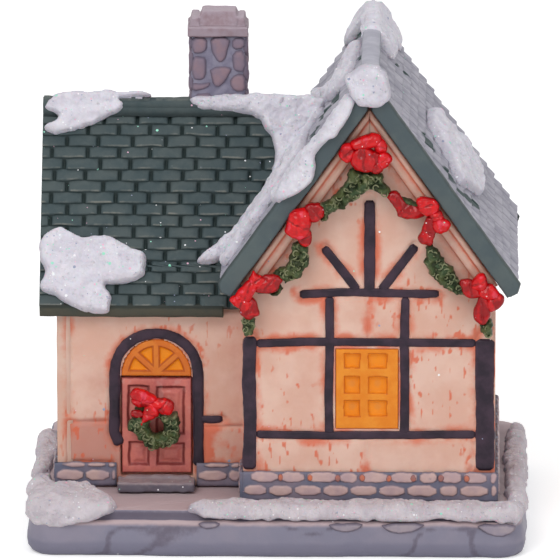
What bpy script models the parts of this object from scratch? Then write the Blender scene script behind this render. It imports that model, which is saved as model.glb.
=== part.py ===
# A small light-up village house: a cast resin cottage with a tiled roof, a stone base, snow,
# Christmas trim, and a battery light unit that pushes up into the underside of the base.
# Lengths are in metres. The origin is the middle of the underside, the front faces -Y, and +Z is up.

import math

import bpy
import bmesh
from mathutils import Vector

# Clearances
GAP = 0.0003                  # between two pieces that touch
UNIT_GAP = 0.0004             # round the light unit in the hole of the base
SLIDER_GAP = 0.0002           # round the switch slider and the screw
CELL_GAP = 0.0002             # round the coin cell, and from it to its contacts

# Base: a battered foot with a lip, and the yard a little inside it
BASE_WIDTH = 0.0710
BASE_DEPTH = 0.0540
LIP_HEIGHT = 0.0051
YARD_HEIGHT = 0.0065
YARD_INSET = 0.0008
BASE_CORNER = 0.0045
BASE_BATTER = 0.0007          # how far the lip's top edge stands in from the widest line
BASE_WAIST = 0.0018           # height of the widest line
BASE_TUCK = 0.0010            # how far the underside stands in from the widest line

# Walls
WALL = 0.0025
LEFT_MARGIN = 0.0041          # base edge to the main wing's left wall
RIGHT_MARGIN = 0.0047         # base edge to the gable wing's right wall
GABLE_SETBACK = 0.0065        # base front to the gable wing's front wall
GABLE_BACK_MARGIN = 0.0045
MAIN_SETBACK = 0.0143         # base front to the main wing's front wall
MAIN_BACK_MARGIN = 0.0105
GABLE_WALL_WIDTH = 0.0356

# Roofs
GABLE_RIDGE_Z = 0.0690        # where the two outer planes would meet
GABLE_PITCH = math.radians(54.65)
GABLE_EAVE_OVERHANG = 0.0032
GABLE_END_OVERHANG = 0.0027
MAIN_EAVE_Z = 0.03366         # of the outer plane, at the eave
MAIN_PITCH = math.radians(57.88)
MAIN_EAVE_OVERHANG = 0.0020
MAIN_END_OVERHANG = 0.0024
ROOF_THICKNESS = 0.0016
FASCIA_HEIGHT = 0.0019
TILE_STEP = 0.00035           # how far a row of tiles stands over the next one down
MAIN_TILE_ROW = 0.00175
GABLE_TILE_ROW = 0.00195
RIDGE_CAP_WIDTH = 0.0025
RIDGE_CAP_HEIGHT = 0.0005     # its flat top above its seat's peak
RIDGE_CAP_EDGE = 0.0013
RIDGE_CAP_CHAMFER = 0.0004
RIDGE_CAP_INSET = 0.0010      # how far the cap stops short of the roof ends

# Boards along the gable edges, and the moulding inside them
BOARD_WIDTH = 0.0029
BOARD_THICKNESS = 0.0015
BOARD_TIP = 0.0006            # how far the lower end runs on past the tiles
MOULDING_WIDTH = 0.0020
MOULDING_THICKNESS = 0.0009
MOULDING_FOOT_Z = 0.0384

# Painted timbers of the gable front: thin strips in shallow grooves
TIMBER_THICKNESS = 0.0006
TIMBER_GROOVE = 0.0007
LEFT_POST_WIDTH = 0.0019
RIGHT_POST_WIDTH = 0.0028
POST_TOP_Z = 0.0303
STUD_WIDTH = 0.0012
RAIL_HEIGHT = 0.0012
TIE_HALF_LENGTH = 0.0100
TIE_BEAM_Z = 0.0365
KING_POST_WIDTH = 0.0013
KING_POST_TOP_Z = 0.0505
BRACE_WIDTH = 0.0012
BRACE_LENGTH = 0.0078
BRACE_ANGLE = math.radians(36.0)   # away from upright
BRACE_FOOT = 0.0018           # king post's middle line to the brace's foot

# Windows
WINDOW_WIDTH = 0.0088
WINDOW_HEIGHT = 0.0116
WINDOW_SILL_Z = 0.0173
WINDOW_SHIFT = 0.0003         # how far left of the gable's middle it sits
WINDOW_THICKNESS = 0.0020
WINDOW_INSET = 0.0002         # the frame's face behind the wall's face
WINDOW_FRAME = 0.0016
WINDOW_BAR = 0.0010
PANE_DEPTH = 0.0006
SIDE_WINDOW_WIDTH = 0.0080
SIDE_WINDOW_HEIGHT = 0.0100
SIDE_WINDOW_SILL_Z = 0.0150

# Door, fanlight and the painted arch round them
DOOR_CENTRE_X = -0.0173
DOOR_WIDTH = 0.0100
DOOR_HEIGHT = 0.0139
DOOR_THICKNESS = 0.0018
DOOR_INSET = 0.0004
DOOR_STILE = 0.0012
DOOR_RAIL = 0.0013
DOOR_LOWER_PANEL = 0.0046
DOOR_PANEL_DEPTH = 0.0004
FANLIGHT_RISE = 0.0057
FANLIGHT_RIM = 0.0009
FANLIGHT_BAR = 0.0007
FANLIGHT_PANES = 4
FANLIGHT_HUB_SHARE = 0.72     # keeps each pane half a bar from its spokes
ARCH_WIDTH = 0.00125
ARCH_LEFT_FOOT_Z = 0.0141
ARCH_RIGHT_FOOT_Z = 0.0092
WING_RAIL_LENGTH = 0.0026     # right of the arch, towards the gable wing
WING_RAIL_Z = 0.0165
WING_RAIL_HEIGHTS = (0.0013, 0.0008)
STEP_WIDTH = 0.0110
STEP_HEIGHT = 0.0014
STEP_DEPTH = 0.0038

# Stone footing round the walls
FOOTING_THICKNESS = 0.0006
GABLE_FOOTING_HEIGHT = 0.0042
MAIN_FOOTING_HEIGHT = 0.0033

# Chimney
CHIMNEY_CENTRE_X = -0.0090
CHIMNEY_WIDTH = 0.0079
CHIMNEY_DEPTH = 0.0060
CHIMNEY_BEHIND_RIDGE = 0.0026
CHIMNEY_SHAFT_TOP_Z = 0.0688
CHIMNEY_CAP_LIP = 0.0005
CHIMNEY_SLAB_HEIGHT = 0.0015
CHIMNEY_CROWN_INSET = 0.0003
CHIMNEY_SHOULDER_INSET = 0.0007
CHIMNEY_SHOULDER_HEIGHT = 0.0011
CHIMNEY_CROWN_HEIGHT = 0.0018
CHIMNEY_CROWN_TAPER = 0.0019

# Christmas trim
GARLAND_WIDTH = 0.0021
THIN_GARLAND_WIDTH = 0.0016
GARLAND_DEPTH = 0.0014
GARLANDS = {                  # width, then the path from the gable's middle line and the ground
    "garland_left_upper": (GARLAND_WIDTH, ((-0.0013, 0.0540), (-0.0035, 0.0518), (-0.0056, 0.0500),
                                           (-0.0074, 0.0489))),
    "garland_left_lower": (GARLAND_WIDTH, ((-0.0096, 0.0462), (-0.0095, 0.0432), (-0.0109, 0.0407),
                                           (-0.0130, 0.0392), (-0.0156, 0.0376), (-0.0173, 0.0350),
                                           (-0.0173, 0.0312))),
    "garland_right_upper": (THIN_GARLAND_WIDTH, ((0.0010, 0.0546), (0.0022, 0.0520), (0.0036, 0.0502),
                                                 (0.0054, 0.0492), (0.0074, 0.0490))),
    "garland_right_lower": (GARLAND_WIDTH, ((0.0086, 0.0460), (0.0090, 0.0428), (0.0106, 0.0400),
                                            (0.0128, 0.0382), (0.0154, 0.0372), (0.0170, 0.0350),
                                            (0.0170, 0.0312))),
}
BOWS = {                      # middle from the gable's middle line and the ground, width, height
    "bow_apex": (-0.0008, 0.0574, 0.0071, 0.0055),
    "bow_left_mid": (-0.0093, 0.0478, 0.0056, 0.0052),
    "bow_right_mid": (0.0086, 0.0484, 0.0056, 0.0054),
    "bow_left_end": (-0.0169, 0.0372, 0.0052, 0.0056),
    "bow_right_end": (0.0161, 0.0371, 0.0054, 0.0058),
}
BOW_THICKNESS = 0.0012
BOW_RIM_SHARE = 0.6           # share of the thickness with the full outline
BOW_HALF = (                  # half of a bow, as shares of its width and height from its knot
    (0.08, 0.16), (0.30, 0.46), (0.48, 0.40), (0.50, 0.10), (0.32, -0.08), (0.15, -0.08), (0.26, -0.44),
    (0.10, -0.50))
BOW_NOTCHES = ((0.0, -0.16), (0.0, 0.10))
WREATH_RADIUS = 0.0024        # to the middle of the roll
WREATH_ROLL = 0.0012
WREATH_CENTRE_Z = 0.0145
WREATH_BOW_RISE = 0.0040      # wreath's centre to its bow's centre
WREATH_BOW_WIDTH = 0.0057
WREATH_BOW_HEIGHT = 0.0040

# Snow
SNOW_THICKNESS = 0.0011
RIDGE_SNOW_RISE = 0.0007      # above the ridge cap
FRONT_SNOW_HALF_WIDTH = 0.0034
FRONT_SNOW_LENGTH = 0.0050
FRONT_SNOW = (                # the lump over the peak, from the gable's middle line and the ground
    (-0.0031, 0.0683), (-0.0024, 0.0697), (0.0004, 0.0704), (0.0018, 0.0697), (0.0027, 0.0679),
    (0.0037, 0.0662),
    (0.0032, 0.0651), (0.0014, 0.0640), (-0.0016, 0.0645), (-0.0022, 0.0660))
SADDLE_SHARES = ((1.0, 0.0), (0.85, 0.55), (0.5, 0.9))   # shares of the half width and the height
BACK_SNOW_HALF_WIDTH = 0.0040
BACK_SNOW_LENGTH = 0.0168
MAIN_RIDGE_SNOW = (           # from the left roof edge, down the slope from the ridge
    (0.0, 0.0009), (0.0153, 0.0004), (0.0113, 0.0016), (0.0079, 0.0036), (0.0040, 0.0051), (0.0, 0.0057))
MAIN_EAVE_SNOW = (            # from the left roof edge, up the slope from the eave
    (0.0, 0.0095), (0.0022, 0.0115), (0.0056, 0.0100), (0.0103, 0.0102), (0.0142, 0.0071), (0.0143, 0.0040),
    (0.0100, 0.0032), (0.0096, -0.0010), (0.0066, -0.0013), (0.0016, 0.0017), (0.0, 0.0023))
VALLEY_SNOW_ROWS = (0.0006, 0.0090, 0.0170, 0.0244)      # down the slope, along the gable roof
VALLEY_SNOW_EDGE = (          # out from the gable roof, down the slope
    (0.00317, 0.0250), (0.00317, 0.0215), (0.00313, 0.0174), (0.00368, 0.0120), (0.00308, 0.0080),
    (0.00579, 0.0040))
VALLEY_SNOW_HEAD = 0.0013     # depth of the strip before the chimney
RIGHT_SLOPE_SNOW = (          # back from the roof's front edge, down the slope from the ridge
    (0.0304, 0.0134), (0.0172, 0.0144), (0.0165, 0.0183), (0.0085, 0.0216), (0.0143, 0.0237),
    (0.0198, 0.0269), (0.0261, 0.0271), (0.0357, 0.0258), (0.0368, 0.0210), (0.0316, 0.0175))
LEFT_RAKE_SNOW = (            # back from the front boards, down the slope
    (0.0, 0.0066), (0.0022, 0.0066), (0.0024, 0.0120), (0.0028, 0.0180), (0.0044, 0.0225), (0.0, 0.0192))
LEFT_SLOPE_SNOW = (           # forward from the back boards, down the slope
    (0.0, 0.0077), (0.0, 0.0156), (0.0060, 0.0140), (0.0190, 0.0110), (0.0130, 0.0077))
GROUND_SNOW_HEIGHT = 0.0018
GROUND_STRIP_HEIGHT = 0.0012
SIDE_STRIP_HEIGHT = 0.0006    # the narrow strip beside the main wing
MOUND_NECK = (0.0014, 0.0060)         # left of the step, and back from the yard's front edge
MOUND_HEAD = 0.0040                   # left of the step, where the mound meets the wall
SIDE_STRIP_FRONT = 0.0050             # behind the main wing's front
SIDE_STRIP_BACK = 0.0100              # before the yard's back edge
SIDE_STRIP_SLANT = 0.0010

# Light unit in the base
UNIT_WIDTH = 0.0280
UNIT_LENGTH = 0.0320
UNIT_CORNER = 0.0050
UNIT_RECESS = 0.0004          # its underside above the ground
UNIT_HEIGHT = 0.0090
CELL_RADIUS = 0.0100
CELL_THICKNESS = 0.0032
CELL_OFFSET_Y = -0.0035       # from the middle of the unit
CONTACT_RADIUS = 0.0035
CONTACT_THICKNESS = 0.0003
RIM_CONTACT_WIDTH = 0.0040
BATTERY_DOOR_THICKNESS = 0.0012
BATTERY_DOOR_LIP = 0.0009     # how far the door reaches past the cell's pocket
DOOR_EAR_RADIUS = 0.0023
DOOR_EAR_ANGLE = math.radians(-52.0)
DOOR_EAR_REACH = 0.0128       # cell's centre to the screw
SCREW_RADIUS = 0.0005
SCREW_LENGTH = 0.0042
SCREW_HEAD_RADIUS = 0.0011
SCREW_SLOT_SHARE = 0.75       # of the head's radius
SCREW_HEAD_THICKNESS = 0.0006
SCREW_SLOT_WIDTH = 0.0003
SCREW_SLOT_DEPTH = 0.0003
SWITCH_OFFSET_Y = 0.0118
SLIDER_LENGTH = 0.0032
SLIDER_WIDTH = 0.0022
SLIDER_THICKNESS = 0.0016
SLIDER_RIDGES = 4
SLIDER_RIDGE_DEPTH = 0.0003
SWITCH_TRAVEL = 0.0026
LED_RADIUS = 0.0025
LED_HEIGHT = 0.0086
LED_FLANGE = 0.0004
LED_FLANGE_HEIGHT = 0.0010
LED_DOME_ANGLES = (25, 50, 72)         # degrees up the dome
LEAD_RADIUS = 0.00025
LEAD_SPACING = 0.00254

# Places worked out from the sizes above
base_left = -BASE_WIDTH / 2
base_right = BASE_WIDTH / 2
base_front = -BASE_DEPTH / 2
wall_left = base_left + LEFT_MARGIN
gable_right = base_right - RIGHT_MARGIN
gable_left = gable_right - GABLE_WALL_WIDTH
gable_centre = (gable_left + gable_right) / 2
gable_front = base_front + GABLE_SETBACK
main_front = base_front + MAIN_SETBACK
gable_back = BASE_DEPTH / 2 - GABLE_BACK_MARGIN
main_back = BASE_DEPTH / 2 - MAIN_BACK_MARGIN
main_centre = (main_front + main_back) / 2
wall_foot = YARD_HEIGHT + GAP
window_centre = gable_centre - WINDOW_SHIFT
step_top = wall_foot + STEP_HEIGHT
gable_footing_top = wall_foot + GABLE_FOOTING_HEIGHT
main_footing_top = wall_foot + MAIN_FOOTING_HEIGHT
window_top = WINDOW_SILL_Z + WINDOW_HEIGHT
door_foot = step_top + GAP
door_top = door_foot + DOOR_HEIGHT
roof_front = gable_front - GABLE_END_OVERHANG
roof_back = gable_back + GABLE_END_OVERHANG
trim_back = gable_front - GAP - MOULDING_THICKNESS - GAP      # garlands hang in front of the moulding
garland_y = trim_back - GARLAND_DEPTH / 2
bow_back = min(trim_back - GARLAND_DEPTH, roof_front) - GAP

FINISHES = {                  # colour as seen, roughness, metallic
    "plaster": ((221, 182, 166), 0.5, 0.0),
    "slate": ((70, 80, 82), 0.55, 0.0),
    "grey_slate": ((150, 150, 160), 0.55, 0.0),
    "board": ((82, 91, 94), 0.45, 0.0),
    "timber": ((66, 54, 66), 0.5, 0.0),
    "amber": ((222, 132, 38), 0.4, 0.0),
    "door_paint": ((166, 90, 84), 0.5, 0.0),
    "stone": ((150, 132, 138), 0.6, 0.0),
    "base_stone": ((128, 125, 140), 0.6, 0.0),
    "chimney_stone": ((130, 115, 124), 0.6, 0.0),
    "green": ((72, 76, 46), 0.45, 0.0),
    "red": ((175, 28, 33), 0.25, 0.0),
    "snow": ((215, 213, 222), 0.7, 0.0),
    "white_plastic": ((225, 225, 222), 0.4, 0.0),
    "grey_plastic": ((90, 92, 95), 0.45, 0.0),
    "clear_lens": ((240, 236, 215), 0.1, 0.0),
    "steel": ((190, 190, 192), 0.3, 1.0),
}


class Ridge:
    """A ridge roof seen from its end: u runs across the ridge and z runs up."""

    def __init__(self, centre, ridge_z, pitch, half_span):
        self.centre = centre
        self.ridge_z = ridge_z
        self.pitch = pitch
        self.half_span = half_span

    def z_at(self, u, depth=0.0):
        """Height of the plane that lies this deep under the outer plane."""
        return self.ridge_z - abs(u - self.centre) * math.tan(self.pitch) - depth / math.cos(self.pitch)

    def u_at(self, z, depth, side):
        """Where that plane has this height, on the side -1 or +1."""
        return self.centre + side * (self.z_at(self.centre, depth) - z) / math.tan(self.pitch)

    def eave(self, side, depth=0.0, beyond=0.0):
        """The eave's corner, moved this deep into the roof and this far on down the slope."""
        u = self.centre + side * self.half_span
        run = beyond * math.cos(self.pitch) - depth * math.sin(self.pitch)
        drop = beyond * math.sin(self.pitch) + depth * math.cos(self.pitch)
        return (u + side * run, self.z_at(u) - drop)

    def tiles(self, side, row, stop):
        """Stepped outline of the tile rows from the eave up to this distance from the ridge."""
        start = self.half_span
        count = max(2, round((start - stop) / math.cos(self.pitch) / row))
        points = []
        for index in range(count):
            low = start + (stop - start) * index / count
            high = start + (stop - start) * (index + 1) / count
            points.append((self.centre + side * low, self.z_at(self.centre + low)))
            points.append((self.centre + side * high, self.z_at(self.centre + high, TILE_STEP)))
        return points


gable_roof_form = Ridge(gable_centre, GABLE_RIDGE_Z, GABLE_PITCH, GABLE_WALL_WIDTH / 2 + GABLE_EAVE_OVERHANG)
main_half_span = (main_back - main_front) / 2 + MAIN_EAVE_OVERHANG
main_ridge_z = MAIN_EAVE_Z + main_half_span * math.tan(MAIN_PITCH)
main_roof_form = Ridge(main_centre, main_ridge_z, MAIN_PITCH, main_half_span)


# Building helpers

def linear(value):
    """One colour channel from 0 to 255, as the shader wants it."""
    value = value / 255
    return value / 12.92 if value <= 0.04045 else ((value + 0.055) / 1.055) ** 2.4


def material(finish):
    """The shared material of this finish."""
    if finish in bpy.data.materials:
        return bpy.data.materials[finish]
    colour, roughness, metallic = FINISHES[finish]
    made = bpy.data.materials.new(finish)
    made.use_nodes = True
    shader = made.node_tree.nodes["Principled BSDF"]
    shader.inputs["Base Color"].default_value = (*[linear(channel) for channel in colour], 1.0)
    shader.inputs["Roughness"].default_value = roughness
    shader.inputs["Metallic"].default_value = metallic
    return made


def finish_object(name, bm, finish, smooth=False, origin=(0.0, 0.0, 0.0)):
    """Turn the bmesh, which is in world places, into an object with this origin."""
    bmesh.ops.recalc_face_normals(bm, faces=bm.faces)
    bmesh.ops.translate(bm, vec=-Vector(origin), verts=bm.verts)
    mesh = bpy.data.meshes.new(name)
    bm.to_mesh(mesh)
    bm.free()
    mesh.materials.append(material(finish))
    if smooth:
        mesh.shade_smooth()
        mesh.set_sharp_from_angle(angle=math.radians(40))
    made = bpy.data.objects.new(name, mesh)
    made.location = origin
    bpy.context.collection.objects.link(made)
    return made


def lift(point, axis, along):
    """Put a point of an outline into space, at this place along the axis."""
    a, b = point
    if axis == "X":
        return Vector((along, a, b))
    if axis == "Y":
        return Vector((a, along, b))
    return Vector((a, b, along))


def loft(name, rings, finish, smooth=False, origin=(0.0, 0.0, 0.0)):
    """A solid through rings of equally many points, closed by its first and last ring."""
    bm = bmesh.new()
    loops = [[bm.verts.new(point) for point in ring] for ring in rings]
    for lower, upper in zip(loops, loops[1:]):
        for index in range(len(lower)):
            after = (index + 1) % len(lower)
            bm.faces.new((lower[index], lower[after], upper[after], upper[index]))
    bm.faces.new(loops[0])
    bm.faces.new(loops[-1])
    return finish_object(name, bm, finish, smooth, origin)


def prism(name, outline, axis, low, high, finish, origin=(0.0, 0.0, 0.0)):
    """An outline swept straight along an axis."""
    rings = [[lift(point, axis, along) for point in outline] for along in (low, high)]
    return loft(name, rings, finish, origin=origin)


def box(name, low, high, finish, origin=(0.0, 0.0, 0.0)):
    """A block between two corners."""
    outline = rectangle(low[0], high[0], low[1], high[1])
    return prism(name, outline, "Z", low[2], high[2], finish, origin)


def rectangle(left, right, low, high):
    return [(left, low), (right, low), (right, high), (left, high)]


def arc(centre, radius_u, radius_v, start, end, steps):
    """Points of an ellipse's arc, angles in degrees, both ends included."""
    points = []
    for index in range(steps + 1):
        angle = math.radians(start + (end - start) * index / steps)
        points.append((centre[0] + radius_u * math.cos(angle), centre[1] + radius_v * math.sin(angle)))
    return points


def circle(centre, radius, steps=32):
    return arc(centre, radius, radius, 0, 360, steps)[:-1]


def rounded_rectangle(centre, width, depth, corner, steps=5):
    points = []
    for index, (side_u, side_v) in enumerate(((1, 1), (-1, 1), (-1, -1), (1, -1))):
        middle = (centre[0] + side_u * (width / 2 - corner), centre[1] + side_v * (depth / 2 - corner))
        points += arc(middle, corner, corner, index * 90, index * 90 + 90, steps)
    return points


def inset(outline, distance):
    """The outline moved inwards, or outwards where the distance is negative."""
    area = sum(a[0] * b[1] - b[0] * a[1] for a, b in zip(outline, outline[1:] + outline[:1]))
    turn = 1 if area > 0 else -1
    moved = []
    for index, point in enumerate(outline):
        here = Vector(point)
        before = (here - Vector(outline[index - 1])).normalized()
        after = (Vector(outline[(index + 1) % len(outline)]) - here).normalized()
        inward = turn * (Vector((-before.y, before.x)) + Vector((-after.y, after.x))).normalized()
        spread = max(0.5, inward.dot(turn * Vector((-before.y, before.x))))
        moved.append(tuple(here + inward * distance / spread))
    return moved


def band(path, width, run_on=0.0):
    """Outline of a strip along an open path, run on past both ends."""
    points = [Vector(point) for point in path]
    points[0] += (points[0] - points[1]).normalized() * run_on
    points[-1] += (points[-1] - points[-2]).normalized() * run_on
    left, right = [], []
    for index, here in enumerate(points):
        before = (here - points[index - 1]).normalized() if index else None
        after = (points[index + 1] - here).normalized() if index + 1 < len(points) else before
        before = before or after
        across = (Vector((-before.y, before.x)) + Vector((-after.y, after.x))).normalized()
        reach = width / 2 / across.dot(Vector((-after.y, after.x)))
        left.append(tuple(here + across * reach))
        right.append(tuple(here - across * reach))
    return left + right[::-1]


def grid_plate(name, us, vs, height, place, finish):
    """A plate over a grid of lines. height(i, j) gives a cell's thickness, and 0 leaves it open."""
    columns, rows = len(us) - 1, len(vs) - 1
    bm = bmesh.new()
    corners = {}

    def corner(i, j, level):
        if (i, j, level) not in corners:
            corners[i, j, level] = bm.verts.new(place(us[i], vs[j], level))
        return corners[i, j, level]

    def level_of(i, j):
        return height(i, j) if 0 <= i < columns and 0 <= j < rows else 0.0

    for i in range(columns):
        for j in range(rows):
            if level_of(i, j):
                for level in (0.0, level_of(i, j)):
                    spots = ((i, j), (i + 1, j), (i + 1, j + 1), (i, j + 1))
                    bm.faces.new([corner(a, b, level) for a, b in spots])
    for i in range(columns + 1):
        for j in range(rows + 1):
            for across, ends in (((i - 1, j), ((i, j), (i, j + 1))), ((i, j - 1), ((i, j), (i + 1, j)))):
                here, there = level_of(i, j), level_of(*across)
                inside = ends[1][0] <= columns and ends[1][1] <= rows
                if here != there and inside:
                    (a, b), (c, d) = ends
                    wall = (corner(a, b, here), corner(c, d, here), corner(c, d, there), corner(a, b, there))
                    bm.faces.new(wall)
    return finish_object(name, bm, finish)


def turned(name, profile, centre, finish, steps=24, origin=(0.0, 0.0, 0.0)):
    """A solid of revolution about an upright axis, from (radius, height) pairs between two poles."""
    bm = bmesh.new()
    bottom = bm.verts.new((centre[0], centre[1], profile[0][1]))
    top = bm.verts.new((centre[0], centre[1], profile[-1][1]))
    loops = []
    for radius, z in profile[1:-1]:
        loops.append([bm.verts.new((x, y, z)) for x, y in circle(centre, radius, steps)])
    for index in range(steps):
        after = (index + 1) % steps
        bm.faces.new((bottom, loops[0][after], loops[0][index]))
        bm.faces.new((top, loops[-1][index], loops[-1][after]))
        for lower, upper in zip(loops, loops[1:]):
            bm.faces.new((lower[index], lower[after], upper[after], upper[index]))
    return finish_object(name, bm, finish, True, origin)


def as_guide(tool):
    """Hide a cutter or an added piece, so that it counts only through its Boolean."""
    tool.hide_render = True
    tool.display_type = "WIRE"


def boolean(target, tools, operation):
    for tool in tools:
        as_guide(tool)
        step = target.modifiers.new(tool.name, "BOOLEAN")
        step.operation = operation
        step.solver = "EXACT"
        step.object = tool


def cut(target, *tools):
    boolean(target, tools, "DIFFERENCE")


def fuse(target, *tools):
    boolean(target, tools, "UNION")


# Base, step and footing

def make_base():
    levels = ((BASE_TUCK, 0.0), (0.0, BASE_WAIST), (BASE_BATTER, LIP_HEIGHT),
              (BASE_BATTER + YARD_INSET, LIP_HEIGHT), (BASE_BATTER + YARD_INSET, YARD_HEIGHT))
    rings = []
    for margin, z in levels:
        outline = rounded_rectangle((0, 0), BASE_WIDTH - 2 * margin, BASE_DEPTH - 2 * margin, BASE_CORNER)
        rings.append([lift(point, "Z", z) for point in outline])
    base = loft("base", rings, "base_stone")
    hole = rounded_rectangle(unit_centre, UNIT_WIDTH + 2 * UNIT_GAP, UNIT_LENGTH + 2 * UNIT_GAP,
                             UNIT_CORNER + UNIT_GAP)
    cut(base, prism("base_hole_cutter", hole, "Z", -YARD_HEIGHT, 2 * YARD_HEIGHT, "base_stone"))


def make_door_step():
    outline = rectangle(DOOR_CENTRE_X - STEP_WIDTH / 2, DOOR_CENTRE_X + STEP_WIDTH / 2,
                        main_front - GAP - STEP_DEPTH, main_front - GAP)
    prism("door_step", outline, "Z", wall_foot, step_top, "stone")


def wall_plan(offset):
    """The walls' plan, two wings side by side, grown outwards by the offset."""
    return [(wall_left - offset, main_front - offset), (gable_left - offset, main_front - offset),
            (gable_left - offset, gable_front - offset), (gable_right + offset, gable_front - offset),
            (gable_right + offset, gable_back + offset), (gable_left - offset, gable_back + offset),
            (gable_left - offset, main_back + offset), (wall_left - offset, main_back + offset)]


def make_footing():
    reach = GAP + FOOTING_THICKNESS
    footing = prism("stone_footing", wall_plan(reach), "Z", wall_foot, gable_footing_top, "stone")
    inside = prism("footing_inner_cutter", wall_plan(GAP), "Z", 0.0, 2 * gable_footing_top, "stone")
    lower = box("footing_wing_cutter", (wall_left - 2 * reach, main_front - 2 * reach, main_footing_top),
                (gable_left - reach - GAP, main_back + 2 * reach, 2 * gable_footing_top), "stone")
    half = DOOR_WIDTH / 2 + ARCH_WIDTH + 2 * GAP
    doorway = box("footing_door_cutter", (DOOR_CENTRE_X - half, main_front - 2 * reach, 0.0),
                  (DOOR_CENTRE_X + half, main_front + WALL, 2 * gable_footing_top), "stone")
    cut(footing, inside, lower, doorway)


# Timbers: each strip and its groove come from one outline

def post_outlines(grow):
    left = rectangle(gable_left - grow, gable_left + LEFT_POST_WIDTH + grow,
                     gable_footing_top + GAP - grow, POST_TOP_Z + grow)
    right = rectangle(gable_right - RIGHT_POST_WIDTH - grow, gable_right + grow,
                      gable_footing_top + GAP - grow, POST_TOP_Z + grow)
    return {"corner_post_left": left, "corner_post_right": right}


def truss_outlines(grow):
    """Tie beam, king post and the two braces over the window, which run into each other."""
    beam_middle = TIE_BEAM_Z + RAIL_HEIGHT / 2
    outlines = [rectangle(gable_centre - TIE_HALF_LENGTH - grow, gable_centre + TIE_HALF_LENGTH + grow,
                          TIE_BEAM_Z - grow, TIE_BEAM_Z + RAIL_HEIGHT + grow),
                rectangle(gable_centre - KING_POST_WIDTH / 2 - grow, gable_centre + KING_POST_WIDTH / 2 + grow,
                          beam_middle, KING_POST_TOP_Z + grow)]
    for side in (-1, 1):
        foot = (gable_centre + side * BRACE_FOOT, beam_middle)
        head = (foot[0] + side * BRACE_LENGTH * math.sin(BRACE_ANGLE),
                foot[1] + BRACE_LENGTH * math.cos(BRACE_ANGLE))
        outlines.append(band([foot, (head[0] + side * grow, head[1] + grow)], BRACE_WIDTH + 2 * grow))
    return outlines


def truss(name, grow, front, back, finish):
    outlines = truss_outlines(grow)
    whole = prism(name, outlines[0], "Y", front, back, finish)
    for index, outline in enumerate(outlines[1:]):
        fuse(whole, prism("%s_member_%d" % (name, index + 1), outline, "Y", front, back, finish))
    return whole


def lattice_lines(grow):
    """Grid lines of the rails and of the studs beside the window."""
    left_stud = window_centre - WINDOW_WIDTH / 2 - GAP - STUD_WIDTH
    right_stud = window_centre + WINDOW_WIDTH / 2 + GAP
    us = [gable_left + LEFT_POST_WIDTH + GAP - grow, left_stud - grow, left_stud + STUD_WIDTH + grow,
          right_stud - grow, right_stud + STUD_WIDTH + grow, gable_right - RIGHT_POST_WIDTH - GAP + grow]
    vs = [WINDOW_SILL_Z - GAP - RAIL_HEIGHT - grow, WINDOW_SILL_Z - GAP + grow,
          window_top + GAP - grow, window_top + GAP + RAIL_HEIGHT + grow, TIE_BEAM_Z - GAP + grow]
    return us, vs


def lattice(name, grow, front, back, finish):
    """Both rails and both studs in one piece."""
    us, vs = lattice_lines(grow)
    return grid_plate(name, us, vs, lambda i, j: back - front if j in (0, 2) or i in (1, 3) else 0.0,
                      lambda u, v, level: (u, back - level, v), finish)


timber_back = gable_front + TIMBER_GROOVE - GAP / 2
timber_front = timber_back - TIMBER_THICKNESS


def arch_path():
    """Middle line of the painted arch: up the left leg, over and down the right one."""
    half = DOOR_WIDTH / 2 + GAP + ARCH_WIDTH / 2
    rise = FANLIGHT_RISE + GAP + ARCH_WIDTH / 2
    over = arc((DOOR_CENTRE_X, door_top), half, rise, 180, 0, 20)
    return [(DOOR_CENTRE_X - half, ARCH_LEFT_FOOT_Z)] + over + [(DOOR_CENTRE_X + half, ARCH_RIGHT_FOOT_Z)]


def doorway_outline(grow):
    """Door and fanlight together."""
    half = DOOR_WIDTH / 2 + grow
    over = arc((DOOR_CENTRE_X, door_top), half, FANLIGHT_RISE + grow, 0, 180, 20)
    return [(DOOR_CENTRE_X - half, door_foot - grow), (DOOR_CENTRE_X + half, door_foot - grow)] + over


def wing_rail_outline(grow):
    """The short painted rail from the arch towards the gable wing, thinner at its far end."""
    start = DOOR_CENTRE_X + DOOR_WIDTH / 2 + GAP + ARCH_WIDTH + GAP - 2 * grow
    end = start + WING_RAIL_LENGTH + 3 * grow
    near, far = [height / 2 + grow for height in WING_RAIL_HEIGHTS]
    return [(start, WING_RAIL_Z - near), (end, WING_RAIL_Z - far), (end, WING_RAIL_Z + far),
            (start, WING_RAIL_Z + near)]


def make_timbers():
    for name, outline in post_outlines(0.0).items():
        prism(name, outline, "Y", timber_front, timber_back, "timber")
    truss("gable_truss", 0.0, timber_front, timber_back, "timber")
    lattice("timber_lattice", 0.0, timber_front, timber_back, "timber")
    arch_back = main_front + TIMBER_GROOVE - GAP / 2
    arch_front = arch_back - TIMBER_THICKNESS
    prism("door_arch", band(arch_path(), ARCH_WIDTH), "Y", arch_front, arch_back, "timber")
    prism("wing_rail", wing_rail_outline(0.0), "Y", arch_front, arch_back, "timber")


# Walls

def window_openings():
    """The other windows: name, the axis it faces along, its middle, the wall's face, the outward sign."""
    return (("left_window", "X", main_centre, wall_left, -1),
            ("right_window", "X", (gable_front + gable_back) / 2, gable_right, 1),
            ("back_window", "Y", gable_centre, gable_back, 1))


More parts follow.
